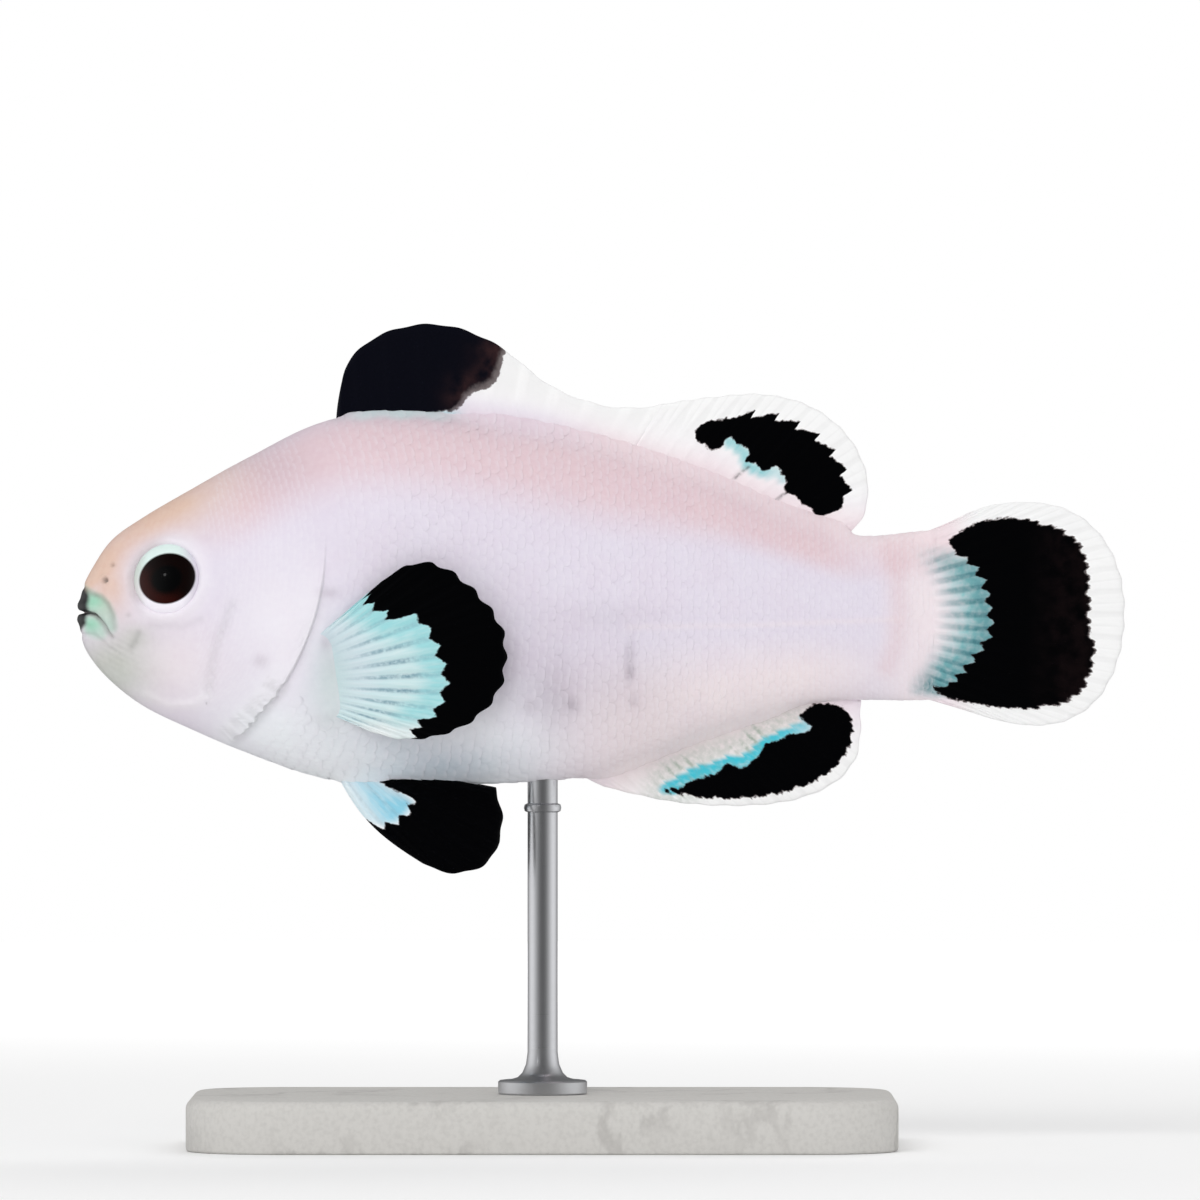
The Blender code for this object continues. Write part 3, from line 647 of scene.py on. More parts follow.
def set_places(mesh, places):
    mesh.vertices.foreach_set("co", np.ascontiguousarray(places, np.float32).ravel())
    mesh.update()


def get_places(mesh):
    places = np.zeros(len(mesh.vertices) * 3, np.float32)
    mesh.vertices.foreach_get("co", places)
    return places.reshape(-1, 3).astype(float)


def corner_vertices(mesh):
    """The vertex that each corner of the faces stands on."""
    corners = np.zeros(len(mesh.loops), np.int32)
    mesh.loops.foreach_get("vertex_index", corners)
    return corners


def set_bake_map(mesh, u, v):
    """Gives each corner of the faces its place on the bake map."""
    layer = mesh.uv_layers.new(name="OFBake")
    layer.data.foreach_set("uv", np.stack((u, v), axis=1).astype(np.float32).ravel())


def set_mark(mesh, name, values):
    """Stores one number for each vertex, for the finishes to read."""
    mark = mesh.attributes.new(name, "FLOAT", "POINT")
    mark.data.foreach_set("value", np.ascontiguousarray(values, np.float32).ravel())


def face_outwards(mesh):
    """Turns a closed mesh the right way out."""
    bm = bmesh.new()
    bm.from_mesh(mesh)
    if bm.calc_volume(signed=True) < 0:
        bmesh.ops.reverse_faces(bm, faces=bm.faces)
        bm.to_mesh(mesh)
    bm.free()


def finished(name, mesh, material, slot, *nodes, sharp=None):
    """Puts a mesh in the scene as a piece that rides on the fish and stands for the given nodes."""
    mesh.name = name
    mesh.materials.append(material)
    mesh.shade_smooth()
    if sharp is not None:
        mesh.set_sharp_from_angle(angle=math.radians(sharp))
    piece = bpy.data.objects.new(name, mesh)
    bpy.context.scene.collection.objects.link(piece)
    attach(piece, "root")
    if nodes:
        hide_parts(*nodes)
    return piece


def new_mesh(bm, name):
    mesh = bpy.data.meshes.new(name)
    bm.to_mesh(mesh)
    bm.free()
    return mesh


def unwrap(station, column):
    """The place on the skin's own unwrap of a distance from the snout and a way round the body."""
    used = 1 - 2 * UNWRAP_MARGIN
    return UNWRAP_MARGIN + used * station / SKIN_END, UNWRAP_MARGIN + used * column / COLUMNS


def make_skin():
    """One closed skin over the head, trunk and tail stem."""
    form = skin_form()
    rings = len(form.stations)
    bm = bmesh.new()
    bmesh.ops.create_uvsphere(bm, u_segments=COLUMNS, v_segments=rings + 1, radius=1.0)
    mesh = new_mesh(bm, "skin")
    ball = get_places(mesh)
    ring = np.rint(np.arccos(np.clip(ball[:, 2], -1, 1)) / math.pi * (rings + 1)).astype(int) - 1
    column = np.rint(np.arctan2(ball[:, 1], ball[:, 0]) / (2 * math.pi) * COLUMNS).astype(int) % COLUMNS
    ends = (ring < 0) | (ring >= rings)
    nearest = np.clip(ring, 0, rings - 1)
    places = form.places[nearest, column]
    places[ends] = form.places[nearest[ends]].mean(axis=1)
    set_places(mesh, in_world(places))
    for name, values in form.marks.items():
        set_mark(mesh, name, values[nearest, column])
    station = np.interp(ring, np.arange(-1, rings), np.concatenate(([0.0], form.stations)))
    set_unwrap(mesh, station, column.astype(float), ends)
    face_outwards(mesh)
    nodes = ("head", "upper_lip", "lower_jaw", "gill_cover_left", "gill_cover_right", "trunk", "tail_stem")
    finished("skin", mesh, skin_finish(), "skin", *nodes)


def set_unwrap(mesh, station, column, ends):
    """The skin's bake map, with the column numbers made continuous across the belly's seam."""
    corners = corner_vertices(mesh)
    starts = np.zeros(len(mesh.polygons), np.int32)
    mesh.polygons.foreach_get("loop_start", starts)
    turn, pole = column[corners], ends[corners]
    counts = np.diff(np.append(starts, len(corners)))
    highest = np.repeat(np.maximum.reduceat(np.where(pole, -1.0, turn), starts), counts)
    lowest = np.repeat(np.minimum.reduceat(np.where(pole, 1e9, turn), starts), counts)
    wraps = highest - lowest > COLUMNS / 2
    turn = np.where(wraps & (turn < COLUMNS / 2), turn + COLUMNS, turn)
    set_bake_map(mesh, *unwrap(station[corners], np.where(pole, lowest, turn)))


def sample(grid, ring, column):
    """Values of a ring-by-column grid between its points."""
    ring = np.clip(ring, 0, grid.shape[0] - 1.001)
    i, j = np.floor(ring).astype(int), np.floor(column).astype(int)
    a, b = ring - i, column - j
    if grid.ndim == 3:
        a, b = a[..., None], b[..., None]
    j0, j1 = j % grid.shape[1], (j + 1) % grid.shape[1]
    near = grid[i, j0] * (1 - b) + grid[i, j1] * b
    far = grid[i + 1, j0] * (1 - b) + grid[i + 1, j1] * b
    return near * (1 - a) + far * a


def scale_lattice(form, width):
    """Stations, shares and widths of the scales of one side, in staggered columns."""
    angles, shares = around_table()
    middle = float(np.interp(0.0, angles, shares))
    found = []
    station, odd = SCALES_FROM, False
    while station < SCALES_TO:
        around = float(np.interp(station, form.stations, form.half_round))
        head = 0.78 + 0.22 * float(rise(station, 14.0, 24.0))
        wide = width * head * math.sqrt(around / form.half_round.max())
        count = int(around / wide) + 2
        share = middle + (np.arange(-count, count + 1) + 0.5 * odd) * wide / around
        share = share[(share > 0.012) & (share < 0.985)]
        found.append(np.stack((np.full(len(share), station), share, np.full(len(share), wide)), axis=1))
        station += SCALE_STEP * wide
        odd = not odd
    return np.concatenate(found)


def bare(form, station, ring, column, width):
    """Where no scale grows: the snout, round the eye, across the gill opening and on the fins' roots."""
    x, y, z = np.moveaxis(sample(form.places, ring, column), -1, 0)
    snout = x < 8.8 + 0.25 * np.maximum(z - 4.0, 0.0)
    throat = (station < GILL_STATION) & (z < -7.6)
    eye = eye_distance(x, y, z) < 4.3
    gill = (station > GILL_STATION - 1.0 * width) & (station < GILL_STATION + 0.75 * width)
    shoulder = np.hypot((x - 18.6) / 2.3, (z + 5.1) / 3.6) < 1
    tail = station > SCALES_TO - 1.2 + 0.7 * np.sin(1.9 * z) + 0.5 * np.sin(5.3 * z + 1.0)
    return snout | throat | eye | gill | shoulder | tail


def plate_template():
    """One scale: a flat closed lens of 48 triangles, its root at -0.5 and its free edge at 0.5."""
    bm = bmesh.new()
    bmesh.ops.create_uvsphere(bm, u_segments=12, v_segments=3, radius=1.0)
    bmesh.ops.triangulate(bm, faces=bm.faces)
    mesh = new_mesh(bm, "plate")
    ball = get_places(mesh)
    triangles = corner_vertices(mesh).reshape(-1, 3)
    bpy.data.meshes.remove(mesh)
    rim, inner = (ball[:, 2] < 0) & (ball[:, 2] > -0.9), (ball[:, 2] > 0) & (ball[:, 2] < 0.9)
    ring = np.hypot(ball[:, 0], ball[:, 1])
    ring = np.where(ring > 0.1, ring, 1.0)
    reach = np.where(rim, 0.5, np.where(inner, 0.33, 0.0))
    a, b = ball[:, 0] / ring * reach, ball[:, 1] / ring * reach
    squarer = 1 + 0.14 * np.sin(2 * np.arctan2(b, a)) ** 2
    crown = np.where(rim, 0.0, np.where(ball[:, 2] > 0, 1.0, -1.0))
    return a * squarer, b * squarer, crown, triangles


def make_scales():
    """Overlapping scales over the skin, one joined piece for each side."""
    sizes = bpy.context.scene.clownfish_sizes
    form = skin_form()
    lattice = scale_lattice(form, sizes.scale / MM)
    a, b, crown, triangles = plate_template()
    thickness = crown * np.where(crown > 0, 0.45, 0.9)
    index = np.arange(len(form.stations))
    chance = np.random.default_rng(11)
    probe = 0.3
    for side, label in ((1, "right"), (-1, "left")):
        station, share, width = lattice.T
        station = station + chance.uniform(-0.07, 0.07, len(station)) * width
        share = share + chance.uniform(-0.004, 0.004, len(station)) * width
        width = width * chance.uniform(0.92, 1.08, len(station))
        column = (share if side > 0 else 2 - share) * COLUMNS / 2
        ring = np.interp(station, form.stations, index)
        keep = ~bare(form, station, ring, column, width)
        station, column, width, ring = station[keep], column[keep], width[keep], ring[keep]
        around = np.interp(station, form.stations, form.half_round)
        ahead = np.interp(station + probe, form.stations, index)
        step = np.linalg.norm(sample(form.places, ahead, column) - sample(form.places, ring, column), axis=1)
        length = SCALE_LENGTH * width * probe / step
        breadth = side * SCALE_BREADTH * width / around * COLUMNS / 2
        lean = chance.uniform(-0.14, 0.14, len(station))[:, None]
        s = station[:, None] + (a - lean * b) * length[:, None]
        c = column[:, None] + (b + lean * a) * breadth[:, None]
        r = np.interp(s, form.stations, index)
        lift = sizes.lift / MM * np.minimum(width, 1.0) * (0.3 + 0.7 * rise(station, 15.0, 30.0))
        lift = lift * chance.uniform(0.7, 1.2, len(station))
        height = lift[:, None] * (2 * a + thickness)
        places = sample(form.places, r, c) + sample(form.normals, r, c) * height[..., None]
        mesh = joined_plates("scales_" + label, places, triangles)
        for mark, values in form.marks.items():
            set_mark(mesh, mark, sample(values, r, c))
        # share of the way to a scale's free edge, which the skin finish lightens as painted sheen
        set_mark(mesh, "edge", np.broadcast_to(a + 0.5, s.shape))
        u, v = unwrap(station[:, None], column[:, None])
        corners = corner_vertices(mesh)
        set_bake_map(mesh, (u + PATCH * a).ravel()[corners], (v + PATCH * b).ravel()[corners])
        mesh.validate()
        face_outwards(mesh)
        finished("scales_" + label, mesh, skin_finish(), "skin", sharp=50)


def joined_plates(name, places, triangles):
    """One mesh of many plates, from their places plate by plate and the triangles of one plate."""
    count, size = places.shape[:2]
    faces = triangles[None] + (np.arange(count) * size)[:, None, None]
    mesh = bpy.data.meshes.new(name)
    mesh.vertices.add(count * size)
    mesh.loops.add(faces.size)
    mesh.polygons.add(faces.size // 3)
    mesh.loops.foreach_set("vertex_index", faces.ravel().astype(np.int32))
    mesh.polygons.foreach_set("loop_start", np.arange(0, faces.size, 3, dtype=np.int32))
    set_places(mesh, in_world(places.reshape(-1, 3)))
    return mesh


# ---------------------------------------------------------------- fins

def fin_ridges(fin, ray, along):
    """How much a ray stands out at each place of a fin, its soft rays forking towards the edge."""
    centres = np.arange(fin.rays, dtype=float)
    centres[0] += 0.22
    centres[-1] -= 0.22
    spread = 0.20 * rise(along, 0.28, 0.95) * fin.forks
    twigs = 0.09 * rise(along, 0.62, 1.0) * fin.forks
    width = 0.17 - 0.07 * rise(along, 0.3, 0.9) * fin.forks
    ridge = np.zeros_like(ray)
    for centre in centres:
        for fork in (-1, 1):
            for twig in (-1, 1):
                gap = ray - centre - fork * spread - twig * twigs
                ridge = np.maximum(ridge, bell(gap, width))
    return ridge


FinForm = namedtuple("FinForm", "x y z ray along ridge")


def fin_form(fin, mesh):
    """Places of a fin's blade in its own plane, worked out from the plain grid that it starts as."""
    grid = get_places(mesh)
    u, v, face = grid[:, 0] + 0.5, grid[:, 1] + 0.5, np.sign(grid[:, 2] - 0.5)
    ray = u * (fin.rays - 1)
    start, end = along_path(fin.root, u), along_path(fin.margin, u)
    direction = end - start
    length = np.linalg.norm(direction, axis=1)
    ridge = fin_ridges(fin, ray, v)
    web = np.sin(math.pi * ray) ** 2
    reach = v * (1 - fin.notch * web / length)
    across = np.stack((direction[:, 1], -direction[:, 0]), axis=1) / length[:, None]
    bow = fin.bow[0] * (1 - u) ** 3 + fin.bow[1] * u**3
    flat = start + direction * reach[:, None] + across * (bow * np.sin(math.pi * v))[:, None]
    taper = (1 - v) ** 2
    ray_half = fin.ray[1] + (fin.ray[0] - fin.ray[1]) * taper
    web_half = fin.web[1] + (fin.web[0] - fin.web[1]) * taper
    half = web_half + (ray_half - web_half) * ridge * rise(v, *fin.fade)
    side_edge = np.sqrt(np.clip(np.minimum(u, 1 - u) * (fin.rays - 1) / 0.22, 0.03, 1))
    tip_edge = np.sqrt(np.clip((1 - v) * length / 0.5, 0.04, 1))
    half = half * side_edge * tip_edge
    if fin.cup == 0.0:
        half = np.minimum(half, hidden_half(flat[:, 0], flat[:, 1]))
    wave = 0.16 * v**2 * np.sin(1.3 * ray + 0.6) * np.sin(math.pi * u) ** 0.5
    bend = wave - fin.cup * (flat[:, 0] ** 2 + 0.5 * flat[:, 1] ** 2) - fin.sink * fall(v, 0.0, 0.2)
    return FinForm(flat[:, 0], face * half + bend, flat[:, 1], ray, v, ridge)


def hidden_half(x, z):
    """How thick a middle fin may be where it is still under the skin of the tail stem."""
    return 0.8 * flank(x, z) + 3.0 * np.maximum(rise(x, 65.2, 67.2), fall(x, 59.5, 60.5))


def blank_fin(fin, name):
    """A closed blade with the fin's columns and rows, still a flat square, its two faces apart."""
    bm = bmesh.new()
    columns = (fin.rays - 1) * fin.columns
    bmesh.ops.create_grid(bm, x_segments=columns, y_segments=fin.rows, size=0.5)
    made = bmesh.ops.extrude_face_region(bm, geom=bm.faces[:])["geom"]
    far = [part for part in made if isinstance(part, bmesh.types.BMVert)]
    bmesh.ops.translate(bm, verts=far, vec=(0, 0, 1))
    return new_mesh(bm, name)


def make_fin(name, fin, marking, colours, slot, place=None):
    """Models a fin, paints its marks and puts it where its solid is."""
    mesh = blank_fin(fin, name)
    form = fin_form(fin, mesh)
    places = np.stack((form.x, form.y, form.z), axis=1)
    if place is not None:
        turn = np.array(place)
        places = places @ turn[:3, :3].T + turn[:3, 3]
    x, y, z = places.T
    set_places(mesh, in_world(places))
    unused = dict.fromkeys(("glow", "line", "brown"), np.zeros(len(x)))
    blade = {"ridge": form.ridge, "ray": form.ray, "along": form.along}
    for mark, values in {**skin_marks(x, y, z), **unused, **marking(x, z, form), **blade}.items():
        set_mark(mesh, mark, values)
    face_outwards(mesh)
    kind = name.replace("_fin", "").replace("_left", "").replace("_right", "")
    material = fin_finish(kind, *(tuple(colour) for colour in colours))
    return finished(name + "_blade", mesh, material, slot, name)


def sunk_root(start, end, upper, sunk=1.5):
    """The line inside the body that a fin of the back or the belly stands on."""
    x = np.linspace(start, end, 6)
    back, belly, _ = body_at(x)
    return np.stack((x, back - sunk if upper else belly + sunk), axis=1)


def teeth(ray, lean=0.0):
    """A saw edge with one tooth for each ray, from -0.5 between rays to 0.5 on them."""
    phase = (ray + 0.5 + lean) % 1.0 - 0.5
    return 0.5 - 2 * np.abs(phase)


def spiny_marks(x, z, form):
    """The spiny dorsal fin: black along the top in front, worn brown behind that, flesh at the root."""
    back, _, _ = body_at(x)
    ink = inside_distance(x, z, ((18.5, 24.0), (18.5, 14.9), (22.0, 15.0), (26.5, 15.05), (29.0, 15.4),
                                 (29.9, 16.4), (31.7, 17.3), (32.4, 19.0), (33.5, 24.0)))
    brown = bell(line_distance(x, z, ((29.6, 16.4), (31.3, 17.6), (32.1, 19.4), (31.8, 20.4))), 1.35)
    glow = 0.5 * window(x, 20.0, 29.0, 1.0) * bell(z - 14.9, 0.4)
    return {
        "ink": ink + 0.15 * teeth(form.ray), "glow": glow, "flesh": fall(z - back, 1.0, 3.4),
        "brown": np.clip(brown, 0, 1),
    }


def soft_marks(x, z, form):
    """The soft dorsal fin: a black band with saw edges, blue tongues below it and two dark dashes."""
    back, _, _ = body_at(x)
    ink = inside_distance(x, z, (
        (47.0, 13.7), (47.7, 14.2), (49.2, 14.55), (51.2, 14.85), (53.2, 14.7), (55.4, 13.8), (57.2, 12.4),
        (58.3, 10.8), (58.7, 9.2), (58.4, 8.1), (57.6, 7.4), (56.7, 7.25), (55.5, 8.1), (54.6, 8.8),
        (53.9, 9.3), (54.1, 10.1), (53.6, 10.75), (53.1, 11.0), (52.6, 10.75), (51.8, 11.1), (51.15, 11.4),
        (51.35, 12.0), (50.7, 12.6), (50.0, 13.1), (49.5, 12.9), (49.2, 12.4), (48.6, 12.3), (47.7, 12.7)))
    outer = rise(form.along, 0.66, 0.76)
    saw = (form.ray + 0.3) % 1.0 - 0.4
    ink = ink + outer * 0.7 * saw * rise(x, 49.0, 51.0) + (1 - outer) * 0.25 * teeth(form.ray)
    tongues = line_distance(x, z, ((49.7, 12.9), (50.3, 12.6), (51.0, 11.9), (51.1, 11.2), (51.7, 10.8),
                                   (52.6, 10.5), (53.3, 10.7), (53.9, 10.1)))
    glow = fall(tongues + 0.16 * teeth(form.ray * 2.0), 0.12, 0.8) * (1 - 0.4 * rise(x, 52.3, 53.3))
    dashes = bell(line_distance(x, z, ((50.2, 10.1), (51.2, 10.9))), 0.13)
    dashes += bell(line_distance(x, z, ((53.1, 8.2), (54.0, 8.9))), 0.13)
    return {
        "ink": ink, "glow": 0.8 * glow, "flesh": fall(z - back, 1.8, 4.6), "line": 0.85 * dashes,
    }


def anal_marks(x, z, form):
    """The anal fin: a black band, a cyan strip along its upper edge and grey green lines above that."""
    _, belly, _ = body_at(x)
    ink = inside_distance(x, z, (
        (44.9, -13.75), (46.2, -13.5), (47.4, -12.9), (48.5, -12.65), (49.6, -11.9), (50.7, -12.05),
        (51.7, -11.55), (52.3, -10.55), (53.5, -9.9), (54.8, -9.45), (56.2, -8.95), (55.5, -8.3),
        (55.3, -7.9), (56.3, -7.3), (57.9, -7.2), (58.8, -7.9), (59.1, -9.4), (58.5, -11.1),
        (57.0, -12.6), (54.6, -13.65), (51.9, -14.2), (49.0, -14.35), (46.6, -14.1)))
    strip = line_distance(x, z, ((44.9, -13.55), (46.0, -13.0), (47.3, -12.4), (48.4, -12.1), (49.6, -11.5),
                                 (50.8, -11.5), (51.8, -11.0), (52.5, -10.15), (53.8, -9.5), (55.1, -9.05),
                                 (56.0, -8.7)))
    step = 0.22 * (form.ray * 1.6 % 1.0) + 0.08 * np.sin(2.3 * form.ray)
    touching = 0.9 * rise(ink, -0.45, -0.1) * fall(strip, 0.7, 1.0)
    glow = np.maximum(fall(strip + step, 0.3, 0.72), touching) * (1 - 0.5 * rise(x, 53.5, 56.5))
    uneven = 0.6 + 0.4 * np.sin(1.7 * form.ray + 0.8)
    lines = rise(-teeth(form.ray * 2.0), -0.1, 0.45) * window(strip, 0.2, 0.9 + 0.7 * uneven, 0.7)
    lines = (lines * uneven + 0.6 * window(strip, 0.2, 1.9, 0.7)) * window(x, 43.0, 56.0, 2.0)
    return {
        "ink": ink + 0.2 * (form.ridge - 0.4), "glow": glow, "flesh": fall(belly - z, 1.9, 4.4),
        "line": 0.6 * lines,
    }


def tail_marks(x, z, form):
    """The tail fin: black, and jagged where the rays enter the black."""
    ink = inside_distance(x, z, TAIL_BLACK)
    inner = fall(x, 69.6, 70.8) * fall(z, 3.6, 5.0) * rise(z, -6.2, -5.2)
    outer = rise(x, 71.5, 74.0)
    ink = ink - 0.6 * inner * teeth(form.ray) + 0.26 * outer * (form.ridge - 0.4)
    flesh = np.maximum(fall(x, 66.2, 69.0), comb_zone(x, z))
    return {"ink": ink, "flesh": flesh, "brown": 0.16 * rise(x, 72.0, 76.0)}


def pectoral_marks(x, z, form):
    """A pectoral fin: pale blue, with dark lines between its rays and a broad black edge."""
    ink = inside_distance(x, z, (
        (22.2, 0.6), (23.6, -0.3), (24.6, -0.7), (26.0, -0.5), (27.0, -1.7), (27.8, -3.6), (28.2, -5.0),
        (28.0, -6.4), (27.4, -7.8), (25.7, -9.2), (26.5, -12.0), (31.0, -11.0), (36.0, -4.0), (33.0, 3.0),
        (27.0, 6.5), (22.5, 4.5)))
    ink = ink - 0.62 * teeth(form.ray)
    band = rise(ink, -2.6, -0.9)
    fan = rise(form.along, 0.14, 0.5)
    lines = rise(-teeth(form.ray), 0.0, 0.4) * fan * (1 - 0.6 * band)
    cream = rise(z, -9.4, -7.8)
    glow = 0.27 * rise(form.along, 0.02, 0.2) + 0.26 * fan + 0.42 * band
    return {
        "ink": ink, "glow": glow * (0.25 + 0.75 * cream), "line": 0.95 * lines * cream,
        "flesh": fall(form.along, 0.16, 0.55),
    }


def pelvic_marks(x, z, form):
    """A pelvic fin: black behind, and pale blue with thin dark lines in front."""
    front = inside_distance(x, z, (
        (18.0, -12.0), (22.0, -12.6), (24.2, -13.7), (25.6, -14.6), (25.3, -15.4), (23.6, -16.5),
        (21.5, -16.0), (19.0, -14.0)))
    glow = rise(front, -0.5, 0.6) * (0.6 + 0.4 * rise(form.along, 0.1, 0.45))
    return {
        "ink": 0.6 * teeth(form.ray * 1.3) * rise(form.along, 0.25, 0.4) - front,
        "glow": glow * (0.4 + 0.6 * rise(form.ray, 0.3, 1.3)),
        "line": 0.3 * rise(-teeth(form.ray), 0.1, 0.45) * rise(front, -0.2, 0.4),
        "flesh": fall(form.along, 0.08, 0.26),
    }


def middle_fins():
    """The two dorsal fins, the anal fin and the tail fin, as outlines and thicknesses."""
    spiny = Fin(
        rays=11, root=sunk_root(19.7, 41.9, upper=True),
        margin=[(20.1, 17.2), (20.45, 18.6), (21.3, 19.8), (22.6, 20.8), (24.4, 21.55), (26.5, 21.88),
                (28.6, 21.7), (30.9, 20.9), (32.8, 19.8), (34.5, 18.4), (36.2, 17.15), (38.2, 16.25),
                (40.6, 15.6), (42.7, 15.5), (44.8, 15.74)],
        ray=(0.52, 0.2), web=(0.42, 0.13), notch=0.1, bow=(-0.12, 0.0), forks=0.0,
    )
    soft = Fin(
        rays=14, root=sunk_root(41.5, 56.0, upper=True),
        margin=[(44.3, 15.72), (48.5, 16.3), (52.5, 16.5), (56.0, 15.6), (58.8, 13.4), (60.25, 10.6),
                (60.35, 8.3), (59.9, 6.9), (58.9, 5.8)],
        ray=(0.48, 0.15), web=(0.42, 0.1), notch=0.08, bow=(0.0, -0.1),
    )
    anal = Fin(
        rays=13, root=sunk_root(37.2, 55.8, upper=False),
        margin=[(40.2, -13.5), (42.0, -13.98), (46.0, -14.75), (50.5, -15.0), (54.5, -14.6), (57.6, -13.4),
                (59.3, -11.7), (59.8, -9.9), (59.85, -6.9)],
        ray=(0.46, 0.15), web=(0.4, 0.1), notch=0.1, bow=(0.2, 0.0),
    )
    tail = Fin(
        rays=TAIL_RAYS, root=TAIL_ROOT, margin=TAIL_MARGIN,
        ray=(1.32, 0.17), web=(1.24, 0.11), notch=0.1, bow=(0.35, 0.0), rows=72,
    )
    return spiny, soft, anal, tail


def make_middle_fins(paint):
    """The fins of the back, the belly and the tail, each with its glow, line and black."""
    spiny, soft, anal, tail = middle_fins()
    for name, fin, marking, colours in (
        ("dorsal_fin_spiny", spiny, spiny_marks, (paint.dorsal, paint.dark_line, paint.worn_black)),
        ("dorsal_fin_soft", soft, soft_marks, (paint.dorsal, paint.dark_line, paint.black)),
        ("anal_fin", anal, anal_marks, (paint.anal, paint.anal_line, paint.black)),
        ("tail_fin", tail, tail_marks, (paint.tail, paint.tail_line, paint.black)),
    ):
        make_fin(name, fin, marking, colours, "fin")


def make_paired_fins(paint):
    """The pectoral and pelvic fins, modelled flat about their own pivots and put on each side."""
    pectoral = Fin(
        rays=15, root=[(-1.3, 2.3), (-1.8, 0.6), (-1.5, -1.2), (-0.7, -2.6)],
        margin=[(4.8, 7.2), (6.8, 8.4), (8.8, 8.5), (10.8, 7.3), (12.9, 5.1), (13.9, 3.2), (14.0, 1.0),
                (13.5, -1.2), (12.3, -2.9), (10.5, -4.2), (8.0, -5.0), (5.6, -5.1), (3.4, -4.5)],
        ray=(0.46, 0.13), web=(0.4, 0.08), notch=0.3, cup=FIN_CUP, sink=0.42, fade=(0.12, 0.5), rows=64,
    )
    pelvic = Fin(
        rays=6, root=[(-0.9, 1.4), (0.5, 1.4), (1.9, 1.3), (3.1, 1.3)],
        margin=[(6.2, -6.2), (7.9, -6.9), (9.7, -6.75), (11.2, -5.8), (11.9, -4.2), (12.1, -2.2),
                (11.5, 0.1)],
        ray=(0.5, 0.17), web=(0.4, 0.1), notch=0.16, bow=(0.9, 0.0), cup=FIN_CUP, fade=(0.05, 0.3),
        columns=20, rows=56,
    )
    shoulder = (19.0, float(flank(19.0, -4.9)) - 0.3, -4.9)
    for side, label in ((-1, "left"), (1, "right")):
        place = paired_place(side, shoulder, 14.0, -11.0)
        colours = paint.pectoral, paint.pectoral_line, paint.black
        make_fin("pectoral_fin_" + label, pectoral, pectoral_marks, colours, "pectoral", place)
        place = paired_place(side, (20.4, 1.55, -13.35), 5.0, 20.0)
        colours = paint.pelvic, paint.pectoral_line, paint.black
        make_fin("pelvic_fin_" + label, pelvic, pelvic_marks, colours, "fin", place)


def paired_place(side, pivot, spread, lean):
    """Turns a fin out about Z, leans it about X and mirrors it to its side."""
    turn = Matrix.Rotation(math.radians(spread), 4, "Z") @ Matrix.Rotation(math.radians(lean), 4, "X")
    return Matrix.Diagonal((1, side, 1, 1)) @ Matrix.Translation(pivot) @ turn


# ---------------------------------------------------------------- eyes and stand

def make_eyes():
    """A glossy flattened ball in each socket."""
    centre, across, up, out = eye_frame()
    for side, label in ((-1, "left"), (1, "right")):
        bm = bmesh.new()
        bmesh.ops.create_uvsphere(bm, u_segments=72, v_segments=48, radius=1.0)
        turn = Matrix((across, up, out)).transposed().to_4x4()
        size = Matrix.Diagonal((EYE_RADIUS, EYE_RADIUS, EYE_DEPTH, 1))
        shape = Matrix.Diagonal((1, side, 1, 1)) @ Matrix.Translation(centre) @ turn @ size
        bmesh.ops.transform(bm, matrix=shape, verts=bm.verts)
        bmesh.ops.recalc_face_normals(bm, faces=bm.faces)
        mesh = new_mesh(bm, "eye_" + label)
        places = get_places(mesh)
        set_mark(mesh, "fish_x", places[:, 0])
        set_mark(mesh, "fish_z", places[:, 2])
        set_places(mesh, in_world(places))
        face_outwards(mesh)
        finished("eyeball_" + label, mesh, eye_finish(), "eye", "eye_" + label)


def make_stand():
    """The stone base and the steel post."""
    make_base(*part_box("stand_base"))
    make_post(*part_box("stand_post"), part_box("stand_base")[1].z)


def make_base(low, high):
    """A stone slab with rounded corners and edges."""
    bm = bmesh.new()
    bmesh.ops.create_cube(bm, size=1.0)
    size = Matrix.Diagonal((*(high - low), 1))
    bmesh.ops.transform(bm, matrix=Matrix.Translation((low + high) / 2) @ size, verts=bm.verts)
    near = 0.01 * MM
    for offset, segments, chosen in (
        (7.0, 16, lambda a, b: abs(a.z - b.z) > MM),
        (0.75, 6, lambda a, b: min(a.z, b.z) > high.z - near),
        (0.25, 3, lambda a, b: max(a.z, b.z) < low.z + near),
    ):
        edges = [e for e in bm.edges if chosen(e.verts[0].co, e.verts[1].co)]
        bmesh.ops.bevel(
            bm, geom=edges, offset=offset * MM, affect="EDGES", segments=segments, profile=0.5, material=-1
        )
    mesh = new_mesh(bm, "stone_base")
    face_outwards(mesh)
    finished("stone_base", mesh, stone_finish(), "base", "stand_base", sharp=35)


